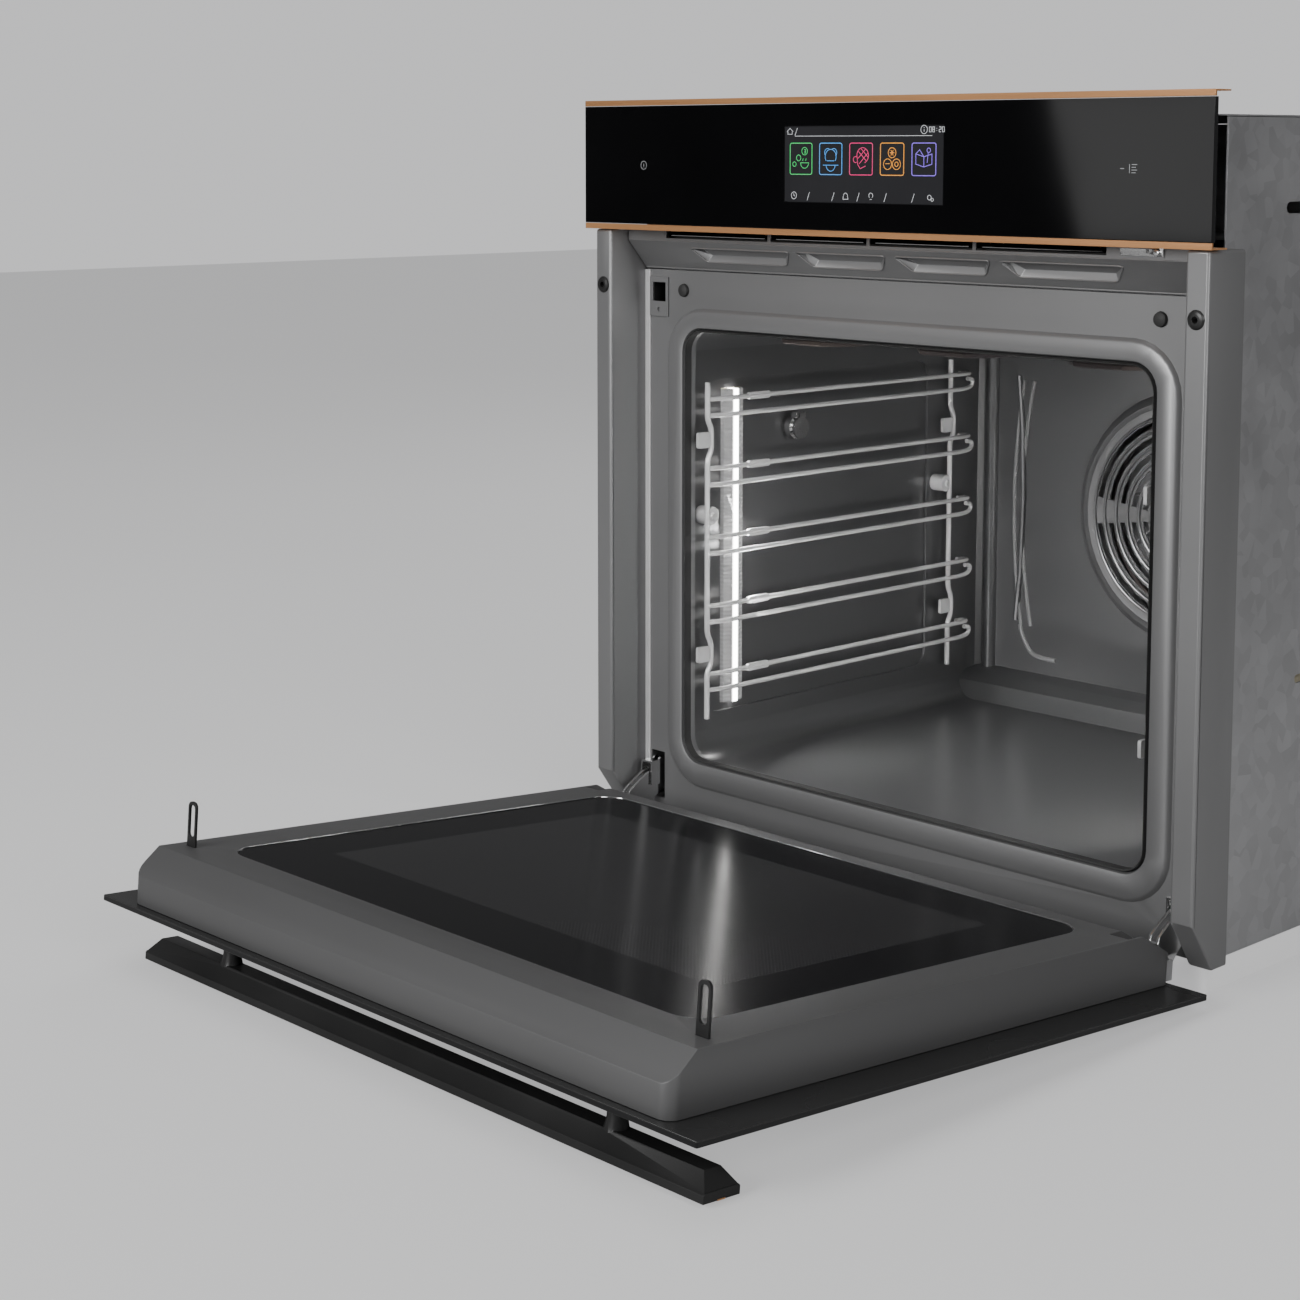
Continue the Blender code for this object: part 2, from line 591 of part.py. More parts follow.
def make_racks():
    for side, sign in SIDES:
        out, wire = sign * (RACK_X + 4.0), sign * RACK_X
        plates = {RACK_FRONT: (317.0, 139.0), RACK_REAR: (305.0, 139.0)}
        front = tube(
            "side_rack_" + side, rack_upright(RACK_FRONT, plates[RACK_FRONT], 84, 364, out), 2.4, 8, "chrome"
        )
        rear = tube("c", rack_upright(RACK_REAR, plates[RACK_REAR], 84, 364, out), 2.4, 8)
        for i in range(RACK_LEVELS):
            top = RACK_TOP - RACK_PITCH * i
            turn = arc(RACK_END, top - RACK_PAIR / 2, RACK_PAIR / 2, 90, -90, 5)
            path = [(out, RACK_FRONT, top), (wire, RACK_FRONT + 16, top)]
            path += [(wire, y, z) for y, z in turn]
            path += [(wire, RACK_FRONT + 16, top - RACK_PAIR), (out, RACK_FRONT, top - RACK_PAIR)]
            join(front, tube("c", path, 2.1, 6))
        join(front, rear)
        for y, zs in plates.items():
            for z in zs:
                x0, x1 = side_x(sign, RACK_X + 2.6, RACK_X + 5.4)
                join(front, box("c", (x0, x1), (y - 11.5, y + 1.5), (z - 6.5, z + 6.5)))
        for y, z in ((RACK_FRONT + 5.2, 253.5), (RACK_REAR - 5.2, 252.0)):
            x0, x1 = side_x(sign, RACK_X + 1.2, 230.6)
            join(front, slab("c", circle(y, z, 7.6, 14), [], "X", x0, x1))


# ------------------------------------------------------------------ fans
def make_fans():
    wheel = turned_ring(
        "convection_wheel",
        [(3.4, 438.0), (12, 438.0), (12, 454.6), (74, 456.2), (74, 457.6), (3.4, 457.6)],
        (0, 0, FAN_Z), "Y", 32, "galvanised",
    )
    for i in range(10):
        a = 2 * math.pi * (i + 0.5) / 10
        c, s = math.cos(a), math.sin(a)
        corners = [(46, -1), (72, 9), (72, 10.4), (46, 0.4)]
        outline = [(r * c - t * s, FAN_Z + r * s + t * c) for r, t in corners]
        join(wheel, slab("c", outline, [], "Y", 438.5, 456.6))
    pivot(wheel, 0, 447.0, FAN_Z)
    motor = lathe(
        "convection_motor",
        [(0.01, 437.0), (3.0, 437.0), (3.0, 472.0), (14, 472.0), (34, 474.0), (36, 480.0), (36, 512.0),
         (30, 520.0), (0.01, 520.0)],
        (0, 0, FAN_Z), "Y", 28, "galvanised",
    )
    join(motor, box("c", (-58, 58), (473, 475), (FAN_Z - 11, FAN_Z + 11)))

    deck = box("blower_deck", (-272, 272), (64, 540), (452.0, 453.2), "galvanised")
    join(deck, box("c", (-272, 272), (64, 65.2), (453, 466)))
    housing = turned_ring(
        "blower_housing",
        [(30, 453.6), (63, 453.6), (63, 497.0), (22, 497.0), (22, 495.8), (61.8, 495.8), (61.8, 454.8),
         (30, 454.8)],
        (0, BLOWER_Y, 0), "Z", 32, "galvanised",
    )
    neck = box("c", (-50, 50), (262.4, 300), (481.0, 492.4))
    join(housing, neck)
    cut(housing, box("c", (-48.8, 48.8), (255, 302), (482.2, 491.2)))
    cut(housing, lathe("c", [(0.01, 455.4), (61.2, 455.4), (61.2, 495.2), (0.01, 495.2)],
                       (0, BLOWER_Y, 0), "Z", 32))
    wheel = turned_ring(
        "cooling_impeller",
        [(3.4, 472.0), (10, 472.0), (10, 491.2), (45, 491.2), (45, 459.0), (54, 459.0), (54, 492.6),
         (3.4, 492.6)],
        (0, BLOWER_Y, 0), "Z", 28, "plastic",
    )
    for i in range(14):
        a = 2 * math.pi * (i + 0.5) / 14
        c, s = math.cos(a), math.sin(a)
        corners = [(40, -12.6), (60, -5.4), (60, 15.6), (40, 4.6)]
        outline = [(r * c - t * s, BLOWER_Y + r * s + t * c) for r, t in corners]
        cut(wheel, slab("c", outline, [], "Z", 462.0, 490.6))
    pivot(wheel, 0, BLOWER_Y, 476.0)
    motor = lathe(
        "cooling_motor",
        [(0.01, 470.0), (3.0, 470.0), (3.0, 499.0), (26, 499.0), (30, 503.0), (30, 530.0), (24, 535.0),
         (0.01, 535.0)],
        (0, BLOWER_Y, 0), "Z", 24, "galvanised",
    )
    join(motor, box("c", (-44, 44), (BLOWER_Y - 9, BLOWER_Y + 9), (498.6, 500.4)))


# ------------------------------------------------------------------ casing
def make_casing():
    t = 1.3
    base = box("base_pan", (-CASE_HALF + 1.6, CASE_HALF - 1.6), (CASE_FRONT, CASE_REAR - 1.8), (0.0, 10.0),
               "galvanised")
    cut(
        base,
        box("c", (-CASE_HALF + 2.9, CASE_HALF - 2.9), (CASE_FRONT + t, CASE_REAR - 3.1), (t, 20)),
    )
    for x in range(-200, 201, 80):
        cut(base, slab("c", rounded(x - 30, x + 30, 470, 478, 3.9, 2), [], "Z", -2, 4))
    for side, sign in SIDES:
        x0, x1 = side_x(sign, CASE_HALF - t, CASE_HALF)
        wall = box("side_panel_" + side, (x0, x1), (CASE_FRONT, CASE_REAR), (0.4, CASE_TOP - 2), "galvanised")
        for y in range(150, 451, 100):
            cut(wall, slab("c", rounded(y - 28, y + 28, 510, 518, 3.9, 2), [], "X", x0 - 3, x1 + 3))
        cut(wall, slab("c", rounded(150, 420, 180, 186, 2.9, 2), [], "X", x0 - 3, x1 + 3))
    rear = box("rear_cover", (-CASE_HALF + 1.6, CASE_HALF - 1.6), (CASE_REAR - t, CASE_REAR),
               (0.4, CASE_TOP - 2), "galvanised")
    for i in range(6):
        z = 176 + 24 * i
        cut(rear, slab("c", rounded(-60, 60, z - 4, z + 4, 3.9, 2), [], "Y", CASE_REAR - 6, CASE_REAR + 3))
    for x in (-150, -90, 90, 150):
        cut(rear, slab("c", rounded(x - 22, x + 22, 540, 548, 3.9, 2), [], "Y", CASE_REAR - 6, CASE_REAR + 3))
    cut(rear, box("c", (188, 232), (CASE_REAR - 6, CASE_REAR + 3), (478, 508)))
    lid = box("top_cover", (-CASE_HALF, CASE_HALF), (CASE_FRONT, CASE_REAR), (CASE_TOP - 1.6, CASE_TOP - 0.3),
              "galvanised")
    for x in range(-180, 181, 60):
        cut(lid, slab("c", rounded(x - 20, x + 20, 300, 308, 3.9, 2), [], "Z", CASE_TOP - 4, CASE_TOP + 2))
    block = box("terminal_block", (190, 230), (508, 544.2), (480, 506), "plastic")
    for i in range(3):
        x = 198 + 12 * i
        cut(block, box("c", (x - 4, x + 4), (530, 546), (486, 500)))
    join(block, box("c", (184, 236), (520, 526), (472, 512)))


# ------------------------------------------------------------------ lock and hinges
def make_lock():
    plate = box("catch_plate", (-269.0, -248.0), (44.4, 45.7), (417.0, 449.5), "frame_steel")
    cut(
        plate,
        box("c", (-265.5, -250.5), (40, 50), (429.5, 445.0)),
        slab("c", circle(-258.5, 422.6, 1.9, 12), [], "Y", 40, 50),
    )
    body = box("lock_body", (-271.0, -243.0), (48.0, 98.0), (401.0, 450.5), "plastic")
    cut(body, box("c", (-266.5, -249.5), (40, 88), (407.0, 447.5)))
    cut(body, slab("c", circle(80.0, 420.0, 2.3, 12), [], "X", -275, -240))
    hook = [(85.0, 423.5), (85.0, 416.0), (78.0, 414.0), (52.0, 415.0), (51.0, 426.5), (55.5, 426.5),
            (57.5, 422.0), (72.0, 422.5), (78.0, 425.5)]
    pawl = slab("lock_hook", hook, [], "X", -258.2, -254.2, "chrome")
    join(pawl, lathe("c", [(0.01, -270.4), (2.0, -270.4), (2.0, -243.6), (0.01, -243.6)],
                     (0, 80.0, 420.0), "X", 12))
    pivot(pawl, -256.2, 80.0, 420.0)


def make_hinges():
    for side, sign in SIDES:
        a0, a1 = 256.6, 265.4
        near = arc(HINGE_Y, HINGE_Z, 7.6, 150, 330, 7)
        outline = near + [(33.0, 10.5), (46.0, 19.5), (60.0, 20.5), (82.0, 24.0), (88.0, 15.5), (94.0, 18.5),
                          (92.0, 33.0), (72.0, 39.0), (58.0, 42.5), (50.0, 47.2), (45.2, 47.0), (38.0, 39.5),
                          (24.0, 33.0), (10.2, 24.6), (8.2, 20.0)]
        x0, x1 = side_x(sign, a0, a1)
        arm = slab("hinge_arm_" + side, outline, [], "X", x0, x1, "chrome")
        groove = [(4, 27.0), (9.5, 21.2), (24.6, 29.4), (38.8, 35.8), (46.2, 43.4), (49.6, 43.4), (62, 38.5),
                  (62, 60), (4, 60)]
        x0, x1 = side_x(sign, a0 + 2.2, a1 - 2.2)
        cut(arm, slab("c", groove, [], "X", x0, x1))
        x0, x1 = side_x(sign, a0 - 2, a1 + 2)
        cut(arm, slab("c", circle(HINGE_Y, HINGE_Z, 3.3, 14), [], "X", x0, x1))
        cut(arm, slab("c", circle(37.5, 28.5, 1.9, 12), [], "X", x0, x1))

        x0, x1 = side_x(sign, 251.0, 271.0)
        shoe = box("c", (x0, x1), (FRAME_Y + 1.0, 108.0), (11.0, 53.4))
        x0, x1 = side_x(sign, 252.6, 269.6)
        cut(shoe, box("c", (x0, x1), (40, 106.5), (12.4, 52.0)))
        join(bpy.data.objects["front_frame"], shoe)

        x0, x1 = side_x(sign, 254.4, 267.6)
        clip = box("hinge_clip_" + side, (x0, x1), (32.6, 42.4), (25.4, 45.8), "chrome")
        x0, x1 = side_x(sign, 255.8, 266.2)
        cut(clip, box("c", (x0, x1), (30, 45), (20, 44.2)))
        x0, x1 = side_x(sign, 255.0, 267.0)
        join(clip, slab("c", circle(37.5, 28.5, 1.6, 12), [], "X", x0, x1))
        pivot(clip, sign * 261.0, 37.5, 28.5)

        x0, x1 = side_x(sign, 254.6, 267.6)
        case = box("hinge_case_" + side, (x0, x1), (5.6, 20.0), (4.8 - 12, 190), "galvanised")
        x0, x1 = side_x(sign, 255.7, 266.5)
        cut(case, box("c", (x0, x1), (6.9, 40), (-20, 188.6)))
        x0, x1 = side_x(sign, 254.0, 268.2)
        cut(case, box("c", (x0, x1), (0, 40), (-20, -3.4)))
        x0, x1 = side_x(sign, 255.0, 267.2)
        join(case, lathe("c", [(0.01, x0), (2.9, x0), (2.9, x1), (0.01, x1)],
                         (0, HINGE_Y, HINGE_Z), "X", 14))
        on_door(case)


# ------------------------------------------------------------------ door
def make_door():
    outer = slab(
        "door_outer_glass", rounded(-FRONT_HALF, FRONT_HALF, 0.0, DOOR_TOP, 1.2, 2), [], "Y", 0.0,
        GLASS_THICK, "glass_black",
    )
    profile = [
        (4.3, BOX_LOW), (24.0, BOX_LOW), (BOX_FACE, 38.0), (BOX_FACE, 457.0), (24.5, BOX_TOP),
        (4.3, BOX_TOP),
    ]
    frame = slab("door_frame", profile, [], "X", -BOX_HALF, BOX_HALF, "frame_steel")
    plan = rounded(-BOX_HALF, BOX_HALF, BOX_LOW, BOX_TOP, 9.0, 5)
    boolean(frame, slab("c", plan, [], "Y", 0.0, 50.0), "INTERSECT")
    soften(frame, 1.6, 2, 25)
    t = 1.6
    inside = [
        (0.0, BOX_LOW + t), (23.6, BOX_LOW + t), (34.0, 24.4), (34.0, 463.8), (23.9, BOX_TOP - t),
        (0.0, BOX_TOP - t),
    ]
    hollow = slab("c", inside, [], "X", -BOX_HALF + t, BOX_HALF - t)
    boolean(hollow, slab("c", rounded(-BOX_HALF + t, BOX_HALF - t, BOX_LOW + t, BOX_TOP - t, 7.4, 4), [],
                         "Y", -2.0, 50.0), "INTERSECT")
    cut(frame, hollow)
    cut(
        frame,
        slab("c", rounded(-WINDOW_HALF, WINDOW_HALF, WINDOW_LOW, WINDOW_HIGH, 22.0, 6), [], "Y", 37.0, 50.0),
        slab("c", rounded(-WINDOW_HALF + 9, WINDOW_HALF - 9, WINDOW_LOW + 9, WINDOW_HIGH - 9, 14.0, 5), [],
             "Y", 30.0, 38.0),
    )
    for _, sign in SIDES:
        x0, x1 = side_x(sign, 252.8, 268.2)
        cut(frame, box("c", (x0, x1), (5.2, 50), (-5, 52)))
        x0, x1 = side_x(sign, 250.6, 261.4)
        cut(frame, box("c", (x0, x1), (30, 50), (437.6, 440.6)))
    inner = slab(
        "door_inner_glass",
        rounded(-WINDOW_HALF + 0.5, WINDOW_HALF - 0.5, WINDOW_LOW + 0.5, WINDOW_HIGH - 0.5, 21.5, 6), [],
        "Y", 37.3, 41.3, "glass_black",
    )
    middle = slab("door_middle_glass", rounded(-244, 244, 44, 452, 4, 2), [], "Y", 20.0, 24.0, "glass_black")
    spacer = slab(
        "glass_spacer", rounded(-251, 251, 36, 459, 8, 2), [rounded(-239, 239, 50, 446, 6, 2)], "Y", 15.0,
        33.6, "plastic",
    )
    cut(spacer, slab("c", rounded(-244.4, 244.4, 43.6, 452.4, 4.4, 2), [], "Y", 19.7, 40.0))
    parts = [outer, frame, inner, middle, spacer]
    for side, sign in SIDES:
        catch = slab(
            "catch_loop_" + side, rounded(sign * 256 - 5, sign * 256 + 5, 36.0, 74.0, 4.0, 4),
            [rounded(sign * 256 - 3.2, sign * 256 + 3.2, 49.0, 71.6, 2.6, 3)], "Z", 438.1, 440.1, "frame_steel",
        )
        parts.append(catch)

    low, high = HANDLE_MID - HANDLE_HIGH / 2, HANDLE_MID + HANDLE_HIGH / 2
    out = -HANDLE_OUT
    section = [
        (out, low), (out + 5, low), (out + 6.5, low + 1.5), (out + 15.5, HANDLE_MID - 6.5),
        (out + 15.5, HANDLE_MID + 6.5), (out + 6.5, high - 1.5), (out + 5, high), (out, high),
        (out, HANDLE_MID + 3.4), (out + 0.8, HANDLE_MID + 3.4), (out + 0.8, HANDLE_MID - 3.4),
        (out, HANDLE_MID - 3.4),
    ]
    bar = slab("door_handle", section, [], "X", -HANDLE_HALF, HANDLE_HALF, "black_metal")
    for sign in (-1, 1):
        wedge = [(sign * (HANDLE_HALF + 2), out + 6.0), (sign * (HANDLE_HALF + 2), out + 20),
                 (sign * (HANDLE_HALF - 12), out + 20), (sign * (HANDLE_HALF - 0.5), out + 6.0)]
        cut(bar, slab("c", wedge, [], "Z", low - 2, high + 2))
    inlay = box(
        "handle_inlay", (-HANDLE_HALF, HANDLE_HALF), (out - 0.2, out + 0.6),
        (HANDLE_MID - 3.1, HANDLE_MID + 3.1), "copper",
    )
    parts += [bar, inlay]
    for sign in (-1, 1):
        x = sign * 195.0
        post = [[(x + px, y, HANDLE_MID + pz) for px, pz in circle(0, 0, r, 16)]
                for y, r in ((out + 14.0, 8.0), (out + 22, 6.2), (-6.0, 6.2), (-0.2, 8.2))]
        join(bar, loft("c", post))
    on_door(*parts)


def main():
    clear_scene()
    make_control_panel()
    make_front()
    make_deflector()
    make_cavity()
    make_lights()
    make_probe()
    make_racks()
    make_fans()
    make_casing()
    make_lock()
    make_hinges()
    make_door()
    for obj in bpy.context.scene.objects:
        tidy(obj.data)
        obj.location.y -= ORIGIN_Y * MM


main()
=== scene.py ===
"""Finish of a built-in wall oven with its door open: sheet steel, black glass, copper edges,
wire racks, the lit screen and light bars, and the studio it stands in."""

import json
import math

import bmesh
import bpy
import numpy as np
from bpy.props import FloatProperty, FloatVectorProperty, PointerProperty
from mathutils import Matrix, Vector


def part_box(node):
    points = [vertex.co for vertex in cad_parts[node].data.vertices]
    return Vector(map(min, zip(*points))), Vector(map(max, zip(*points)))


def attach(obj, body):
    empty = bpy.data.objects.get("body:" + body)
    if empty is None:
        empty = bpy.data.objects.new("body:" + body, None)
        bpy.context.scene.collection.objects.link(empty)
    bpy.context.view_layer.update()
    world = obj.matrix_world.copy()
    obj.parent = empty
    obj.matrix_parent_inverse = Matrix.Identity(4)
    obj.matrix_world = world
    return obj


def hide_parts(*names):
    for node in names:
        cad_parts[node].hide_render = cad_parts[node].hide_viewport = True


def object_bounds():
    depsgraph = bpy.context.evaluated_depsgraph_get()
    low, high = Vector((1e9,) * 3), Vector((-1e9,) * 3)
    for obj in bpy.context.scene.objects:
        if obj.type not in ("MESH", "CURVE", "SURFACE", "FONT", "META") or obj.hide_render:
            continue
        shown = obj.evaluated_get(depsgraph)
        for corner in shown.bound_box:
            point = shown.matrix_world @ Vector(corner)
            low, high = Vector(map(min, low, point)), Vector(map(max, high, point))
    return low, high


bl_info = {
    "name": "Wall oven finish",
    "version": (1, 0, 0),
    "blender": (4, 5, 0),
    "location": "View3D > Sidebar > Oven",
    "description": "Builds the finished surfaces of a built-in wall oven over its CAD frame",
    "category": "Object",
}

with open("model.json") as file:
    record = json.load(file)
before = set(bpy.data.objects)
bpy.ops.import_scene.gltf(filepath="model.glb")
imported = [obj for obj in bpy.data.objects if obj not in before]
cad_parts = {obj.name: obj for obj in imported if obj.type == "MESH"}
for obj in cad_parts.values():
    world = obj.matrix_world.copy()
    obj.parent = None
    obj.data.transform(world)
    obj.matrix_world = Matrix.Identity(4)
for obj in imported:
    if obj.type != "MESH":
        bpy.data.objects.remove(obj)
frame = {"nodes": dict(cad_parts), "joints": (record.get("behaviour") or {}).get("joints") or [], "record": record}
CAD_BOX = [list(corner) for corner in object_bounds()]
MM = 0.001
BODY_OF = {n: b for b, nodes in frame["record"]["behaviour"]["bodies"].items() for n in nodes}
JOINTS = {j["name"]: j for j in frame["joints"]}
SIDES = (("left", -1), ("right", 1))

FACE_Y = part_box("panel_glass")[0].y
HINGE = JOINTS["door_hinge"]["pos_m"]
DOOR_ANGLE = math.radians(JOINTS["door_hinge"]["range_deg"][1])

# millimetres: across from the middle, behind the panel's face, and up from the base
VENTS = (-231.5, -116.0, -15.0, 85.0, 200.5)  # posts that part the air slots
RECESSES = ((-207.0, -98.8), (-92.3, -1.6), (6.3, 96.1), (104.4, 210.5))  # in the deflector
BAR_DEPTH = 104.0
REAR_WALL = 432.2
UPRIGHTS = ((61.0, (317.0, 139.0)), (372.0, (305.0, 139.0)))  # depth, heights of the lugs
UPRIGHT_X, RUN_X = 218.0, 214.0
TOP_RUN, RUN_PITCH, PAIR_GAP = 350.3, 57.2, 13.6
TILE_HEIGHT = 546.3

# sockets of a Mix node that carry colours, which are found by number
MIX_FIRST, MIX_SECOND, MIX_RESULT = 6, 7, 2


def from_face(mm):
    """A depth behind the control panel's face, in metres of the frame."""
    return FACE_Y + mm * MM


# ------------------------------------------------------------------ surfaces
def unit(v):
    return v / np.maximum(np.linalg.norm(v, axis=-1, keepdims=True), 1e-12)


def shell(rings, loop=False):
    """Skin over rings[m, n, 3]: quads join each ring to the next, and the last to the first in
    a loop; otherwise a flat face closes either end.  The sum of a . (b x c) over the quads'
    triangles is six times the volume, and where it is negative every face is turned round."""
    rings = np.asarray(rings, float)
    m, n, _ = rings.shape
    i, j = np.meshgrid(np.arange(m if loop else m - 1), np.arange(n), indexing="ij")
    a, b, k = i * n, ((i + 1) % m) * n, (j + 1) % n
    quads = np.stack([a + j, a + k, b + k, b + j], -1).reshape(-1, 4)
    verts = rings.reshape(-1, 3)
    p = verts[quads] - verts.mean(0)
    volume = np.einsum("ij,ij->", p[:, 0], np.cross(p[:, 1], p[:, 2]))
    volume += np.einsum("ij,ij->", p[:, 0], np.cross(p[:, 2], p[:, 3]))
    faces = quads.tolist()
    if not loop:
        faces += [list(range(n))[::-1], list(range((m - 1) * n, m * n))]
    if volume < 0:
        faces = [f[::-1] for f in faces]
    return verts, faces


def piece(name, shells, coat, like=None, body=None, angle=35):
    """One mesh of several closed skins.  It rides with the body of the CAD node named by like
    unless another body is given."""
    starts = np.cumsum([0] + [len(v) for v, _ in shells])
    faces = [[i + s for i in f] for (_, fs), s in zip(shells, starts.tolist()) for f in fs]
    mesh = bpy.data.meshes.new(name)
    mesh.from_pydata(np.vstack([v for v, _ in shells]).tolist(), [], faces)
    mesh.materials.append(coat)
    mesh.shade_smooth()
    mesh.set_sharp_from_angle(angle=math.radians(angle))
    obj = bpy.data.objects.new(name, mesh)
    bpy.context.scene.collection.objects.link(obj)
    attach(obj, body or BODY_OF[like])
    return obj


def wire(path, radius, across=(1.0, 0.0, 0.0), sides=12, loop=False):
    """Round wire: at each point of the path a circle lies square to the path's direction, which
    is the difference of its neighbours."""
    p = np.asarray(path, float)
    if loop:
        along = unit(np.roll(p, -1, 0) - np.roll(p, 1, 0))
    else:
        along = unit(np.gradient(p, axis=0))
    side = unit(np.cross(along, np.asarray(across, float)))
    other = np.cross(side, along)
    a = 2 * np.pi * np.arange(sides) / sides
    ca, sa = np.cos(a)[None, :, None], np.sin(a)[None, :, None]
    return shell(p[:, None] + radius * (ca * side[:, None] + sa * other[:, None]), loop)


def eased(points, bend, steps=5):
    """The points' straight runs, each inner corner replaced by the curve
    (1-t)^2 a + 2t(1-t) corner + t^2 b, whose ends a and b lie one bend from the corner."""
    p = np.asarray(points, float)
    before, after = p[:-2] - p[1:-1], p[2:] - p[1:-1]
    reach_a = np.minimum(bend, 0.48 * np.linalg.norm(before, axis=1))[:, None]
    reach_b = np.minimum(bend, 0.48 * np.linalg.norm(after, axis=1))[:, None]
    a, b, c = p[1:-1] + unit(before) * reach_a, p[1:-1] + unit(after) * reach_b, p[1:-1]
    t = np.linspace(0, 1, steps)[None, :, None]
    curve = (1 - t) ** 2 * a[:, None] + 2 * t * (1 - t) * c[:, None] + t**2 * b[:, None]
    return np.vstack([p[:1], curve.reshape(-1, 3), p[-1:]])


def turned_across(profile, centre, sides=32):
    """A profile of (radius, distance across) turned about a line along X: each of its points
    becomes a circle."""
    r, h = np.asarray(profile, float).T[:, :, None]
    a = (2 * np.pi * np.arange(sides) / sides)[None]
    rings = np.stack([h + 0 * a, r * np.cos(a), r * np.sin(a)], -1)
    return shell(rings + np.asarray(centre, float), True)


def rounded(x0, x1, z0, z1, r, steps=10):
    """A rectangle's outline with quarter circles of radius r at its corners."""
    a = np.radians(np.linspace(0, 90, steps + 1))
    cx, cz = np.array([x1 - r, x0 + r, x0 + r, x1 - r]), np.array([z1 - r, z1 - r, z0 + r, z0 + r])
    turn = np.radians([0, 90, 180, 270])[:, None]
    return np.stack(
        [cx[:, None] + r * np.cos(a + turn), cz[:, None] + r * np.sin(a + turn)], -1
    ).reshape(-1, 2)


def upright_ring(outline, y):
    """A flat outline stood up in the plane Y = y."""
    outline = np.asarray(outline, float)
    return np.stack([outline[:, 0], np.full(len(outline), y), outline[:, 1]], -1)


def block(outline, low, high, axis):
    """A flat outline pushed along X or Z from low to high."""
    o = np.asarray(outline, float)
    ends = []
    for h in (low, high):
        k = np.full(len(o), h)
        columns = {"X": (k, o[:, 0], o[:, 1]), "Z": (o[:, 0], o[:, 1], k)}[axis]
        ends.append(np.stack(columns, -1))
    return shell(ends)


def stroke(path, width, y, thick, loop=False):
    """A flat line of even width in the plane Y = y: the path is shifted half a width to either
    side along its mitre, and the outline so made is given a thickness towards the back."""
    p = np.asarray(path, float)
    if loop:
        before, after = np.roll(p, 1, 0), np.roll(p, -1, 0)
    else:
        before = np.vstack([2 * p[:1] - p[1:2], p[:-1]])
        after = np.vstack([p[1:], 2 * p[-1:] - p[-2:-1]])
    a, b = unit(p - before), unit(after - p)
    n = unit(np.stack([-(a + b)[:, 1], (a + b)[:, 0]], -1))
    reach = width / 2 / np.clip((n * np.stack([-a[:, 1], a[:, 0]], -1)).sum(-1), 0.5, 1)[:, None]
    left, right = p + n * reach, p - n * reach
    corners = [upright_ring(left, y), upright_ring(right, y),
               upright_ring(right, y + thick), upright_ring(left, y + thick)]
    return shell(np.stack(corners, 1), loop)


def door_turn(points):
    """Points of the shut door turned to the open one about the hinge line."""
    p = np.asarray(points, float)
    y, z = p[..., 1] - HINGE[1], p[..., 2] - HINGE[2]
    c, s = math.cos(DOOR_ANGLE), math.sin(DOOR_ANGLE)
    return np.stack([p[..., 0], HINGE[1] + y * c - z * s, HINGE[2] + y * s + z * c], -1)


def on_door(skin):
    """A skin of the shut door, turned with it to the open one."""
    return door_turn(skin[0]), skin[1]


def smoothed(node, coat, bevel=0.35, segments=2, angle=28):
    """A copy of a CAD solid whose loose triangles are merged, whose flat areas are one face
    each, and whose sharp edges are rounded as folded or ground edges are."""
    mesh = frame["nodes"][node].data.copy()
    work = bmesh.new()
    work.from_mesh(mesh)
    bmesh.ops.remove_doubles(work, verts=work.verts, dist=2e-6)
    flat = math.radians(0.6)
    bmesh.ops.dissolve_limit(work, angle_limit=flat, verts=work.verts, edges=work.edges)
    work.to_mesh(mesh)
    work.free()
    mesh.materials.clear()
    mesh.materials.append(coat)
    for layer in list(mesh.uv_layers):
        mesh.uv_layers.remove(layer)
    mesh.shade_smooth()
    mesh.set_sharp_from_angle(angle=math.radians(angle))
    obj = bpy.data.objects.new(node + "_skin", mesh)
    bpy.context.scene.collection.objects.link(obj)
    if bevel:
        mod = obj.modifiers.new("rounded edges", "BEVEL")
        mod.width, mod.segments = bevel * MM, segments
        mod.limit_method, mod.angle_limit = "ANGLE", math.radians(angle)
        mod.harden_normals = True
    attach(obj, BODY_OF[node])
    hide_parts(node)
    return obj


def dress(coat, *nodes):
    """Puts a finish on CAD solids whose shape stays as it is."""
    for node in nodes:
        data = frame["nodes"][node].data
        data.materials.clear()
        data.materials.append(coat)


# ------------------------------------------------------------------ shader groups
def add(tree, kind, **values):
    node = tree.nodes.new(kind)
    for key, value in values.items():
        if hasattr(node, key) and key not in node.inputs:
            setattr(node, key, value)
        else:
            node.inputs[key].default_value = value
    return node


def put(tree, value, socket):
    """Links another node's output to the socket, or gives the socket a value of its own."""
    if isinstance(value, bpy.types.NodeSocket):
        tree.links.new(value, socket)
    else:
        socket.default_value = value


def ramp(tree, value, low, high, start=0.0, end=1.0):
    """Runs from start to end while the value runs from low to high, and stays there past them."""
    node = tree.nodes.new("ShaderNodeMapRange")
    sockets = ("Value", "From Min", "From Max", "To Min", "To Max")
    for label, given in zip(sockets, (value, low, high, start, end)):
        put(tree, given, node.inputs[label])
    return node.outputs[0]


def blend(tree, share, first, second, kind="MIX"):
    """Goes from the first colour to the second as the share goes from 0 to 1."""
    node = add(tree, "ShaderNodeMix", data_type="RGBA", blend_type=kind)
    put(tree, share, node.inputs["Factor"])
    put(tree, first, node.inputs[MIX_FIRST])
    put(tree, second, node.inputs[MIX_SECOND])
    return node.outputs[MIX_RESULT]


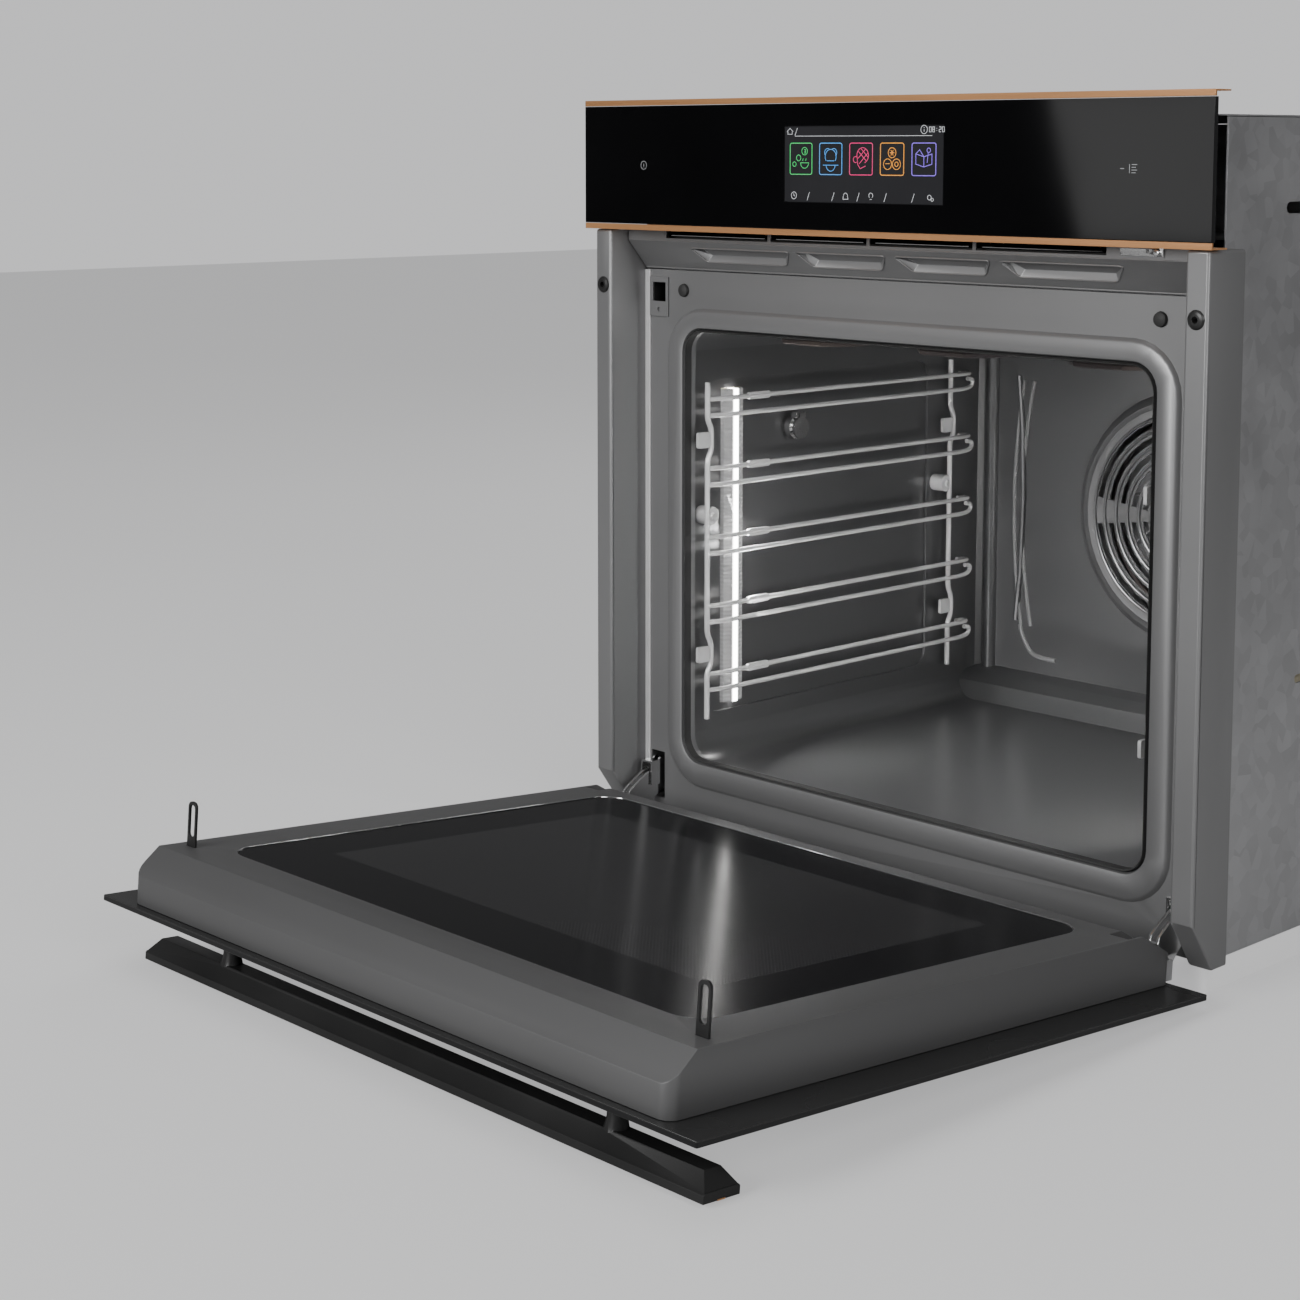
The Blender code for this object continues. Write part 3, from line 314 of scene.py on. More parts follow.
def within(tree, value, middle, half, soft):
    """1 where the value lies within half of the middle, falling to 0 over twice soft."""
    away = add(tree, "ShaderNodeMath", operation="SUBTRACT")
    distance = add(tree, "ShaderNodeMath", operation="ABSOLUTE")
    tree.links.new(value, away.inputs[0])
    away.inputs[1].default_value = middle
    tree.links.new(away.outputs[0], distance.inputs[0])
    return ramp(tree, distance.outputs[0], half + soft, half - soft)


def object_place(tree):
    """The object's own coordinates."""
    return tree.nodes.new("ShaderNodeTexCoord").outputs["Object"]


def group_tree(name, inputs, outputs):
    """An empty shader group with named sockets: (name, type, default) and (name, type)."""
    tree = bpy.data.node_groups.new(name, "ShaderNodeTree")
    for label, kind, default in inputs:
        socket = tree.interface.new_socket(label, in_out="INPUT", socket_type="NodeSocket" + kind)
        socket.default_value = default
    for label, kind in outputs:
        tree.interface.new_socket(label, in_out="OUTPUT", socket_type="NodeSocket" + kind)
    return tree, tree.nodes.new("NodeGroupInput"), tree.nodes.new("NodeGroupOutput")


def noise_in(tree, source, detail=2.0):
    """Noise over the object's own coordinates, each axis multiplied by the group's Stretch."""
    pull = add(tree, "ShaderNodeVectorMath", operation="MULTIPLY")
    noise = add(tree, "ShaderNodeTexNoise", Detail=detail)
    tree.links.new(object_place(tree), pull.inputs[0])
    tree.links.new(source.outputs["Stretch"], pull.inputs[1])
    tree.links.new(pull.outputs[0], noise.inputs["Vector"])
    tree.links.new(source.outputs["Scale"], noise.inputs["Scale"])
    return noise.outputs["Fac"]


def make_patches():
    """Cloudy change of tone and of sheen: a noise value, spread over its middle range, mixes
    two colours and two roughnesses."""
    tree, source, sink = group_tree(
        "Cloudy tone",
        [("Scale", "Float", 6.0), ("Stretch", "Vector", (1, 1, 1)), ("Light", "Color", (1, 1, 1, 1)),
         ("Dark", "Color", (0, 0, 0, 1)), ("Sheen", "Float", 0.3), ("Dull", "Float", 0.4)],
        [("Color", "Color"), ("Roughness", "Float")],
    )
    spread = ramp(tree, noise_in(tree, source), 0.20, 0.80)
    tone = blend(tree, spread, source.outputs["Dark"], source.outputs["Light"])
    sheen = ramp(tree, spread, 0.0, 1.0, source.outputs["Sheen"], source.outputs["Dull"])
    tree.links.new(tone, sink.inputs["Color"])
    tree.links.new(sheen, sink.inputs["Roughness"])


def make_grain():
    """Fine relief of a surface, such as paint, brushing or moulded grain, as a bumped normal."""
    tree, source, sink = group_tree(
        "Fine grain",
        [("Scale", "Float", 600.0), ("Stretch", "Vector", (1, 1, 1)), ("Depth", "Float", 0.05)],
        [("Normal", "Vector")],
    )
    scaled = add(tree, "ShaderNodeMath", operation="MULTIPLY")
    bump = add(tree, "ShaderNodeBump", Strength=1.0, Distance=0.001)
    tree.links.new(noise_in(tree, source, 3.0), scaled.inputs[0])
    tree.links.new(source.outputs["Depth"], scaled.inputs[1])
    tree.links.new(scaled.outputs[0], bump.inputs["Height"])
    tree.links.new(bump.outputs[0], sink.inputs["Normal"])


def shade(name, light, dark, sheen, dull, cloud=7.0, cloud_stretch=(1, 1, 1), grain=500.0,
          grain_stretch=(1, 1, 1), depth=0.03, **sockets):
    """A material whose colour and roughness drift between two values, with a fine grain."""
    mat = bpy.data.materials.new(name)
    mat.use_nodes = True
    tree = mat.node_tree
    shader = tree.nodes["Principled BSDF"]
    for key, value in sockets.items():
        shader.inputs[key.replace("_", " ")].default_value = value
    patches = add(tree, "ShaderNodeGroup", node_tree=bpy.data.node_groups["Cloudy tone"])
    for key, value in (("Scale", cloud), ("Stretch", cloud_stretch), ("Light", (*light, 1)),
                       ("Dark", (*dark, 1)), ("Sheen", sheen), ("Dull", dull)):
        patches.inputs[key].default_value = value
    fine = add(tree, "ShaderNodeGroup", node_tree=bpy.data.node_groups["Fine grain"])
    for key, value in (("Scale", grain), ("Stretch", grain_stretch), ("Depth", depth)):
        fine.inputs[key].default_value = value
    tree.links.new(patches.outputs["Color"], shader.inputs["Base Color"])
    tree.links.new(patches.outputs["Roughness"], shader.inputs["Roughness"])
    tree.links.new(fine.outputs["Normal"], shader.inputs["Normal"])
    return mat


def opened(mat):
    """A finish's node tree, its shader, and the outputs of its cloudy tone."""
    tree = mat.node_tree
    return tree, tree.nodes["Principled BSDF"], tree.nodes["Group"].outputs


def glowing(mat):
    """Lights a finish in its own cloudy tone."""
    tree, shader, cloudy = opened(mat)
    tree.links.new(cloudy["Color"], shader.inputs["Emission Color"])
    return mat


def lit(name, colour, strength):
    """A back-lit print, whose colour glows a shade unevenly."""
    dim = tuple(c * 0.82 for c in colour)
    return glowing(shade(name, colour, dim, 0.3, 0.35, cloud=300.0, depth=0.0,
                         Emission_Strength=strength))


def grey(v, tint=0.0):
    """A grey whose blue is raised by the tint."""
    return (v, v, v * (1.0 + tint))


# ------------------------------------------------------------------ finishes
def black_glass():
    return shade("Black glass", grey(0.0045, 0.1), grey(0.003, 0.1), 0.035, 0.075, cloud=9.0,
                 depth=0.0, IOR=1.5)


def shut_door_place(tree):
    """Object coordinates turned back to the shut door, as separate X, Y and Z.  The mapping
    turns first and shifts after, and the shift is what keeps the hinge line where it is."""
    c, s = math.cos(-DOOR_ANGLE), math.sin(-DOOR_ANGLE)
    hy, hz = HINGE[1], HINGE[2]
    turn = tree.nodes.new("ShaderNodeMapping")
    turn.inputs["Rotation"].default_value = (-DOOR_ANGLE, 0.0, 0.0)
    turn.inputs["Location"].default_value = (0.0, hy - (hy * c - hz * s), hz - (hy * s + hz * c))
    apart = tree.nodes.new("ShaderNodeSeparateXYZ")
    tree.links.new(object_place(tree), turn.inputs["Vector"])
    tree.links.new(turn.outputs[0], apart.inputs[0])
    return apart


def outer_pane():
    """Outer door pane: gloss black in front, and painted grey on the face behind.  The depth
    in the shut door tells the two apart."""
    mat = shade("Outer door glass", grey(0.026), grey(0.022), 0.22, 0.30, cloud=8.0, grain=900.0,
                depth=0.0, IOR=1.5)
    tree, shader, cloudy = opened(mat)
    gloss_tone, gloss_sheen = (*grey(0.004, 0.1), 1), 0.05
    depth = shut_door_place(tree).outputs["Y"]
    behind = ramp(tree, depth, from_face(3.0), from_face(3.6))
    tone = blend(tree, behind, gloss_tone, cloudy["Color"])
    sheen = ramp(tree, behind, 0.0, 1.0, gloss_sheen, cloudy["Roughness"])
    tree.links.new(tone, shader.inputs["Base Color"])
    tree.links.new(sheen, shader.inputs["Roughness"])
    return mat


def printed_glass():
    """Inner door pane: black border, and inside it a grey field of fine dots.  The pattern is
    laid in the pane's own plane: a mapping turns it back to the shut door, where X runs across
    and Z runs up, and a dot is where the distance to the nearest dot centre is small."""
    mat = shade("Printed door glass", grey(0.0085, 0.1), grey(0.0065, 0.1), 0.16, 0.20, cloud=7.0,
                depth=0.0, IOR=1.12, Specular_IOR_Level=0.5)
    tree, shader, cloudy = opened(mat)
    half_across, middle, half_up, edge = 0.190, 0.233, 0.130, 0.0003
    pitch, dot_radius = 0.0030, 0.00062
    field_tone, ink_tone = (*grey(0.022, 0.04), 1), (*grey(0.038, 0.04), 1)

    apart = shut_door_place(tree)
    field = add(tree, "ShaderNodeMath", operation="MULTIPLY")
    tree.links.new(within(tree, apart.outputs["X"], 0.0, half_across, edge), field.inputs[0])
    tree.links.new(within(tree, apart.outputs["Z"], middle, half_up, edge), field.inputs[1])
    cell = tree.nodes.new("ShaderNodeCombineXYZ")
    for i, axis in enumerate("XZ"):
        snap = add(tree, "ShaderNodeMath", operation="PINGPONG")
        snap.inputs[1].default_value = pitch / 2
        tree.links.new(apart.outputs[axis], snap.inputs[0])
        tree.links.new(snap.outputs[0], cell.inputs[i])
    far = add(tree, "ShaderNodeVectorMath", operation="LENGTH")
    tree.links.new(cell.outputs[0], far.inputs[0])
    dot = ramp(tree, far.outputs["Value"], dot_radius * 1.25, dot_radius * 0.75)
    dotted = blend(tree, dot, field_tone, ink_tone)
    whole = blend(tree, field.outputs[0], cloudy["Color"], dotted)
    tree.links.new(whole, shader.inputs["Base Color"])
    return mat


def speckled_enamel(colour):
    """Fired enamel: a gloss coat over grey, with pin-point light specks where a small cell of a
    Voronoi pattern has its centre."""
    mat = shade("Fired enamel", colour, tuple(c * 0.94 for c in colour), 0.27, 0.30, cloud=5.0,
                grain=300.0, depth=0.02, Metallic=0.78, Coat_Weight=0.35, Coat_Roughness=0.16)
    tree, shader, cloudy = opened(mat)
    cells = add(tree, "ShaderNodeTexVoronoi", Scale=420.0)
    tree.links.new(object_place(tree), cells.inputs["Vector"])
    speck = ramp(tree, cells.outputs["Distance"], 0.16, 0.08, 0.0, 0.10)
    speckled = blend(tree, speck, cloudy["Color"], (0.35, 0.35, 0.36, 1))
    tree.links.new(speckled, shader.inputs["Base Color"])
    return mat


def zinc_sheet():
    """Galvanised sheet: crystals a centimetre across, each with its own grey and sheen."""
    mat = shade("Zinc sheet", grey(0.62, 0.02), grey(0.54, 0.02), 0.36, 0.5, cloud=20.0, depth=0.05,
                Metallic=0.9)
    tree, shader, cloudy = opened(mat)
    cells = add(tree, "ShaderNodeTexVoronoi", Scale=90.0)
    tree.links.new(object_place(tree), cells.inputs["Vector"])
    crystal = ramp(tree, cells.outputs["Color"], 0.0, 1.0, 0.82, 1.0)
    scaled = blend(tree, 1.0, cloudy["Color"], crystal, "MULTIPLY")
    tree.links.new(scaled, shader.inputs["Base Color"])
    return mat


def prism_light(strength):
    """Light bar with fine ribs across its length: the glow is where the distance from the
    bar's middle line, along Y, is small."""
    mat = shade("Light bar", grey(0.20), grey(0.17), 0.16, 0.24, cloud=60.0,
                depth=0.0, Emission_Strength=strength)
    tree, shader, _ = opened(mat)
    place = object_place(tree)
    ribs = add(tree, "ShaderNodeTexWave", bands_direction="Z", Scale=90.0)
    bump = add(tree, "ShaderNodeBump", Distance=0.0004)
    tree.links.new(place, ribs.inputs["Vector"])
    tree.links.new(ribs.outputs["Fac"], bump.inputs["Height"])
    tree.links.new(bump.outputs[0], shader.inputs["Normal"])
    apart = tree.nodes.new("ShaderNodeSeparateXYZ")
    tree.links.new(place, apart.inputs[0])
    core_half, core_soft = 0.0029, 0.0007
    core = within(tree, apart.outputs["Y"], from_face(BAR_DEPTH), core_half, core_soft)
    glow = blend(tree, core, (0.012, 0.012, 0.012, 1), (1.0, 0.985, 0.96, 1))
    tree.links.new(glow, shader.inputs["Emission Color"])
    return mat


def fibre_wool():
    """Mineral wool: long matted fibres, drawn by a noise stretched along the sheet."""
    return shade("Mineral wool", (0.62, 0.57, 0.43), (0.42, 0.37, 0.26), 0.9, 0.98, cloud=60.0,
                 cloud_stretch=(1, 1, 5), grain=260.0, grain_stretch=(1, 1, 6), depth=0.9)


def circuit_green():
    """Circuit board: green lacquer over copper tracks laid out as staggered bricks."""
    mat = shade("Circuit board", (0.02, 0.12, 0.05), (0.015, 0.09, 0.04), 0.3, 0.4, depth=0.02)
    tree, shader, _ = opened(mat)
    upright = add(tree, "ShaderNodeMapping", Rotation=(math.pi / 2, 0, 0))
    tracks = add(tree, "ShaderNodeTexBrick", Scale=110.0, Color1=(0.02, 0.12, 0.05, 1),
                 Color2=(0.025, 0.15, 0.06, 1), Mortar=(0.10, 0.30, 0.12, 1), **{"Mortar Size": 0.03})
    tree.links.new(object_place(tree), upright.inputs["Vector"])
    tree.links.new(upright.outputs[0], tracks.inputs["Vector"])
    tree.links.new(tracks.outputs["Color"], shader.inputs["Base Color"])
    return mat


def painted_steel(colour):
    """Satin grey steel: fine paint grain over a slightly cloudy tone."""
    return shade("Satin dark steel", tuple(colour), tuple(c * 0.90 for c in colour), 0.36, 0.42,
                 cloud=5.0, grain=900.0, depth=0.025, Metallic=0.6)


def shaded_door_coat(colour):
    """The front steel's paint in a darker copy on the door: painted shade."""
    return shade("Shaded door coat", tuple(c * 0.41 for c in colour), tuple(c * 0.37 for c in colour), 0.40,
                 0.52, cloud=4.0, grain=900.0, depth=0.025, Metallic=0.3)


def brushed_copper(colour):
    """Copper-toned trim, brushed along its length: the grain is pulled out along X."""
    return shade("Brushed copper", tuple(colour), tuple(c * 0.80 for c in colour), 0.24, 0.36,
                 cloud=30.0, cloud_stretch=(0.15, 4, 4), grain=900.0, grain_stretch=(0.03, 1, 1),
                 depth=0.06, Metallic=0.6)


def bright_chrome():
    return shade("Chrome", grey(0.80), grey(0.68), 0.10, 0.20, cloud=25.0, grain=700.0, depth=0.01,
                 Metallic=1.0)


def bright_wire():
    """Plated wire of the racks, a shade less mirror-like than sheet chrome, whose pale diffuse
    grey is painted reflection of the light bars.
    """
    return shade("Bright wire", grey(0.90), grey(0.80), 0.16, 0.26, cloud=25.0, grain=900.0, depth=0.01,
                 Metallic=0.45)


def satin_black():
    return shade("Satin black metal", grey(0.030), grey(0.021), 0.30, 0.42, cloud=12.0,
                 grain=1100.0, depth=0.03, Metallic=0.35)


def seal_rubber():
    return shade("Seal rubber", grey(0.030), grey(0.018), 0.55, 0.75, cloud=90.0, grain=800.0,
                 depth=0.12)


def black_moulding():
    return shade("Black moulding", grey(0.030), grey(0.022), 0.42, 0.58, cloud=30.0, grain=1500.0,
                 depth=0.08)


def heat_tinted():
    return shade("Heat-tinted element", (0.16, 0.13, 0.115), (0.07, 0.065, 0.075), 0.30, 0.48,
                 cloud=22.0, grain=600.0, depth=0.04, Metallic=0.8)


# a lighter grey than the enamel round the pressed beads: painted highlight
def highlit_bead():
    return shade("Bead with painted highlight", grey(0.30), grey(0.26), 0.34, 0.42, grain=600.0, depth=0.01,
                 Metallic=0.5)


def screen_glass():
    """The screen's dark field, back-lit a little unevenly."""
    return glowing(shade("Screen field", grey(0.020, 0.1), grey(0.015, 0.1), 0.06, 0.10, cloud=16.0,
                         depth=0.0, Emission_Strength=0.6))


def seen_or_lit(tree, lighting, seen):
    """One colour as a light, and another to the camera."""
    path = tree.nodes.new("ShaderNodeLightPath")
    return blend(tree, path.outputs["Is Camera Ray"], lighting, seen)


def floor_paint():
    """Pale floor paint, brighter to the camera than to the object standing on it."""
    mat = shade("Pale floor", grey(0.42), grey(0.39), 0.75, 0.9, cloud=0.8, grain=120.0, depth=0.02,
                Emission_Strength=1.0)
    tree, shader, _ = opened(mat)
    lift = seen_or_lit(tree, (0, 0, 0, 1), (0.44, 0.44, 0.445, 1))
    tree.links.new(lift, shader.inputs["Emission Color"])
    return mat


MAKERS = {
    "steel": lambda: painted_steel(settings("colours").steel),
    "shaded door steel": lambda: shaded_door_coat(settings("colours").steel),
    "copper": lambda: brushed_copper(settings("colours").copper),
    "enamel": lambda: speckled_enamel(tuple(settings("colours").enamel)),
    "bead": highlit_bead,
    "glass": black_glass,
    "outer pane": outer_pane,
    "door glass": printed_glass,
    "chrome": bright_chrome,
    "wire": bright_wire,
    "black metal": satin_black,
    "rubber": seal_rubber,
    "moulding": black_moulding,
    "element": heat_tinted,
    "zinc": zinc_sheet,
    "wool": fibre_wool,
    "circuit": circuit_green,
    "screen": screen_glass,
    "light": lambda: prism_light(settings("lights").bar),
}
made = {}


def finish(name):
    """The finish of that name, made the first time that it is asked for."""
    if "Cloudy tone" not in bpy.data.node_groups:
        make_patches()
        make_grain()
    if name not in made:
        made[name] = MAKERS[name]()
    return made[name]


def settings(group):
    """The scene's values for colours, sizes or lights."""
    return getattr(bpy.context.scene, "oven_" + group)


def at(points):
    """Points in millimetres (across, behind the panel's face, up) as metres of the frame."""
    p = np.array(points, float) * MM
    p[..., 1] += FACE_Y
    return p


# ------------------------------------------------------------------ settings
class OvenColours(bpy.types.PropertyGroup):
    """Colours of the main finishes."""

    steel: FloatVectorProperty(name="Front steel", description="Front frame, columns and door",
                               subtype="COLOR", size=3, min=0, max=1, default=(0.27, 0.27, 0.273))
    enamel: FloatVectorProperty(name="Cavity enamel", description="Fired coat of the cavity",
                                subtype="COLOR", size=3, min=0, max=1, default=(0.20, 0.20, 0.203))
    copper: FloatVectorProperty(name="Copper", description="Edge trims and handle inlay",
                                subtype="COLOR", size=3, min=0, max=1, default=(0.80, 0.40, 0.18))
    mark: FloatVectorProperty(name="White mark", description="Printed and back-lit white signs",
                              subtype="COLOR", size=3, min=0, max=1, default=(0.75, 0.77, 0.80))


class OvenSizes(bpy.types.PropertyGroup):
    """Sizes of the finer pieces."""

    wire: FloatProperty(name="Rack wire", description="Radius of a side rack's wires",
                        default=0.0020, min=0.001, max=0.003, unit="LENGTH")
    upright: FloatProperty(name="Rack upright", description="Radius of a side rack's uprights",
                           default=0.0023, min=0.001, max=0.003, unit="LENGTH")
    rib: FloatProperty(name="Fan cover rib", description="Radius of the ribs between the slots",
                       default=0.0013, min=0.0005, max=0.002, unit="LENGTH")
    line: FloatProperty(name="Screen line", description="Width of the lines drawn on the screen",
                        default=0.0005, min=0.0002, max=0.002, unit="LENGTH")


class OvenLights(bpy.types.PropertyGroup):
    """Brightness of the light bars and of the studio."""

    bar: FloatProperty(name="Light bar", description="Glow of the cavity's light bars",
                       default=16.0, min=0)
    glow: FloatProperty(name="Cavity light", description="Light thrown by each light bar",
                        default=2.2, min=0, unit="POWER")
    key: FloatProperty(name="Key", description="Large soft light at the front left",
                       default=80.0, min=0, unit="POWER")
    fill: FloatProperty(name="Fill", description="Soft light at the front right",
                        default=26.0, min=0, unit="POWER")
    top: FloatProperty(name="Top", description="Soft light overhead", default=12.0, min=0,
                       unit="POWER")


# ------------------------------------------------------------------ pieces
def deflector_lips():
    """Rolled lips along the deflector's foot and head, and round each of its recesses.  A
    recess is a trapezium on the slope, drawn by its distances across and down the slope."""
    lips = []
    for (behind, up), radius in (((45.2, 457.2), 0.9), ((25.4, 480.0), 0.7)):
        edge = [(x, behind, up) for x in (-273.0, -90.0, 90.0, 273.0)]
        lips.append(wire(at(edge), radius * MM, (0, 0, 1)))
    slope_head, down_slope = np.array((24.8, 479.5)), unit(np.array((20.7, -23.2)))
    head, foot, taper = 6.2, 21.5, 11.0
    for x0, x1 in RECESSES:
        middle = ((x0 + x1) / 2, head)
        corners = [middle, (x1, head), (x1 - taper, foot), (x0 + taper, foot), (x0, head), middle]
        ring = [(x, *(slope_head + down_slope * d)) for x, d in corners]
        lips.append(wire(at(eased(ring, 4.0, 6)[:-1]), 0.6 * MM, (0, 1, 1), 8, True))
    return lips


def make_front():
    """Front frame, columns and deflector with rounded folds, and the upright beads between
    the columns and the frame: three round ribs side by side, whose pale wire finish is
    painted highlight."""
    steel = finish("steel")
    smoothed("front_frame", steel, 0.3)
    smoothed("air_deflector", steel, 0.5)
    smoothed("catch_plate", steel, 0.2)
    for side, sign in SIDES:
        smoothed("column_" + side, steel, 0.3)
        smoothed("fixing_bush_" + side, finish("black metal"), 0.2)
        smoothed("door_buffer_" + side, finish("rubber"), 0.2)
        ribs = []
        for x in (270.0, 272.0, 274.0):
            path = [(sign * x, 45.3, z) for z in (3.5, 60.0, 250.0, 400.0, 455.0)]
            ribs.append(wire(at(path), 0.9 * MM))
        # the ribs' pale wire finish paints the bright stripes between column and frame: painted highlight
        piece("column_beads_" + side, ribs, finish("wire"), body="casing")
    smoothed("door_gasket", finish("rubber"), 0)
    smoothed("air_duct", finish("moulding"), 0)
    piece("deflector_lips", deflector_lips(), steel, like="air_deflector")
    rails = []
    for a, b in zip(VENTS[:-1], VENTS[1:]):
        path = [(x, 27.2, 484.6) for x in (a + 6, (a + b) / 2, b - 6)]
        rails.append(wire(at(path), 0.5 * MM, (0, 0, 1), 8))
    piece("vent_rails", rails, finish("chrome"), like="air_deflector")


def fan_cover_ribs():
    """Round ribs between the fan cover's slots, each a circle about its middle."""
    a = 2 * np.pi * np.arange(96) / 96
    circle = np.stack([np.cos(a), 0 * a, np.sin(a)], -1)
    centre = at((0, 419.4, 236.0))
    return [wire(centre + radius * MM * circle, settings("sizes").rib, (0, 1, 0), 8, True)
            for radius in (20.0, 32.5, 44.5, 56.5, 68.5, 80.5, 91.0)]


def rear_wall_beads():
    """Pressed beads of the rear wall, each a round wire sunk in it: two bowed uprights on
    either side, whose bow is a parabola, and a curl at the foot."""
    beads = []
    t = np.linspace(-1, 1, 25)
    for sign in (-1, 1):
        for x, bow in ((180.0, 10.0), (169.0, 12.0)):
            across = sign * (x + bow * (1 - t**2))
            path = np.stack([across, np.full(len(t), REAR_WALL), 231 + 113 * t], -1)
            beads.append(wire(at(path), 2.0 * MM, (0, 1, 0), 10))
        curl = [(181.0, 118.0), (179.4, 110.0), (168.0, 92.0), (152.0, 90.0), (140.0, 90.0)]
        path = eased([(sign * x, REAR_WALL, z) for x, z in curl], 8.0)
        beads.append(wire(at(path), 2.2 * MM, (0, 1, 0), 10))
    return beads


def make_cavity():
    """Enamelled liner with its pressed beads, the fan cover, the probe socket, the light bars
    and the heaters."""
    enamel = finish("enamel")
    smoothed("cavity_liner", enamel, 0.6)
    smoothed("fan_cover", enamel, 0.25)
    piece("fan_cover_ribs", fan_cover_ribs(), enamel, like="fan_cover")
    # the pressed beads take a lighter grey than the enamel: painted highlight
    piece("rear_wall_beads", rear_wall_beads(), finish("bead"), like="cavity_liner")
    for side, _ in SIDES:
        smoothed("light_bar_" + side, finish("light"), 0.6)
    smoothed("probe_socket", finish("chrome"), 0.2)
    smoothed("probe_cap", finish("chrome"), 0.2)
    dress(finish("element"), "grill_element", "bottom_element", "ring_heater")


def mirrored(points, sign):
    """Points whose distances across are put on the given side of the middle."""
    return [(sign * across, behind, up) for across, behind, up in points]


def plate(sign, near, far, outline):
    """A flat plate between two distances from the middle, from its outline (behind, up)."""
    outline = at(np.insert(outline, 0, 0.0, axis=1))[:, 1:]
    low, high = sorted((sign * near * MM, sign * far * MM))
    return block(outline, low, high, "X")


def rack_upright(sign, depth, lugs):
    """An upright wire that steps back round each of its lugs."""
    points = [(UPRIGHT_X, depth, 84.0)]
    for z in sorted(lugs):
        for back, up in ((0.0, -16.0), (4.5, -9.0), (4.5, 9.0), (0.0, 16.0)):
            points.append((UPRIGHT_X, depth + back, z + up))
    points.append((UPRIGHT_X, depth, 364.0))
    return wire(at(eased(mirrored(points, sign), 5.0)), settings("sizes").upright)


def rack_level(sign, top):
    """A level's two runs, the upper curled to the wall at the rear and the lower curled up, and
    the flat near the front of the upper one."""
    low = top - PAIR_GAP
    upper = [(UPRIGHT_X, 61.0, top), (215.5, 70.0, top), (RUN_X, 80.0, top), (RUN_X, 104.0, top),
             (RUN_X, 130.0, top), (RUN_X, 386.0, top), (215.5, 397.0, top), (221.5, 398.0, top),
             (223.0, 390.0, top)]
    lower = [(UPRIGHT_X, 61.0, low), (215.5, 70.0, low), (RUN_X, 80.0, low), (RUN_X, 386.0, low),
             (RUN_X, 397.0, low + 1.6), (RUN_X, 399.0, low + 8.1), (214.2, 391.0, low + 9.2)]
    curves = [eased(mirrored(path, sign), 6.0, 6) for path in (upper, lower)]
    runs = [wire(at(curve), settings("sizes").wire) for curve in curves]
    return runs + [plate(sign, 212.4, 215.4, rounded(104.0, 130.0, top - 3.0, top + 3.0, 2.6, 5))]


def rack_fixings(sign):
    """Lugs that the uprights step round, and two turned studs on the wall."""
    fixings = []
    for depth, lugs in UPRIGHTS:
        for z in lugs:
            outline = rounded(depth - 11.5, depth + 1.5, z - 6.5, z + 6.5, 1.6, 4)
            fixings.append(plate(sign, 216.6, 219.4, outline))
    stud = [(0.01, 215.2), (2.6, 215.2), (3.2, 216.4), (6.6, 216.4), (7.6, 217.2), (7.6, 230.6),
            (0.01, 230.6)]
    profile = [(radius * MM, sign * across * MM) for radius, across in stud]
    for depth, z in ((66.2, 253.5), (366.8, 252.0)):
        fixings.append(turned_across(profile, at((0, depth, z))))
    return fixings


def make_racks():
    """Side racks of bent wire: two uprights, five levels of paired runs, and their fixings.
    Each corner is eased by a quadratic curve."""
    for side, sign in SIDES:
        shells = [rack_upright(sign, depth, lugs) for depth, lugs in UPRIGHTS]
        for level in range(5):
            shells += rack_level(sign, TOP_RUN - RUN_PITCH * level)
        shells += rack_fixings(sign)
        # the wire's pale diffuse grey: painted reflection of the light bars
        rack = piece("rack_" + side, shells, finish("wire"), like="side_rack_" + side)
        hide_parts("side_rack_" + side)


def make_door():
    """Door shell, panes, handle and hinges, with ground and folded edges rounded, and the fine
    bright seal line round the inner pane."""
    # the door shell takes a darker copy of the front steel: painted shade
    smoothed("door_frame", finish("shaded door steel"), 0.9, 3)
    smoothed("door_outer_glass", finish("outer pane"), 0.5)
    smoothed("door_inner_glass", finish("door glass"), 0.3)
    smoothed("door_handle", finish("black metal"), 0.6, 3)
    smoothed("handle_inlay", finish("copper"), 0.1)
    ring = upright_ring(rounded(-236.2, 236.2, 53.5, 424.9, 22.2), 41.5)
    seam = wire(at(ring), 0.55 * MM, (0, 1, 0), 8, True)
    piece("glass_seal_line", [on_door(seam)], finish("chrome"), body="door")
    for side, _ in SIDES:
        smoothed("catch_loop_" + side, finish("black metal"), 0.4)
        smoothed("hinge_case_" + side, finish("zinc"), 0.4)
        smoothed("hinge_arm_" + side, finish("chrome"), 0.4)
        smoothed("hinge_clip_" + side, finish("chrome"), 0.3)
    dress(finish("glass"), "door_middle_glass")
    dress(finish("moulding"), "glass_spacer")


DIGITS = {
    "0": [[(0, 0), (1, 0), (1, 2), (0, 2), (0, 0)]],
    "2": [[(0, 2), (1, 2), (1, 1), (0, 1), (0, 0), (1, 0)]],
    "8": [[(0, 0), (1, 0), (1, 2), (0, 2), (0, 0)], [(0, 1), (1, 1)]],
    "3": [[(0, 2), (1, 2), (1, 0), (0, 0)], [(0.2, 1), (1, 1)]],
    ":": [[(0.5, 0.5), (0.5, 0.75)], [(0.5, 1.3), (0.5, 1.55)]],
}


def number(text, x, z, size):
    """Strokes of a row of figures, each on a grid one wide and two high."""
    lines = []
    for i, figure in enumerate(text):
        for part in DIGITS[figure]:
            lines.append([(x + i * size * 0.85 + a * size * 0.5, z + b * size * 0.5) for a, b in part])
    return lines


def ring_line(x, z, r, start=0, end=360, n=28):
    """Points on a circle, from one angle to another."""
    a = np.radians(np.linspace(start, end, n))
    return np.stack([x + r * np.cos(a), z + r * np.sin(a)], -1).tolist()


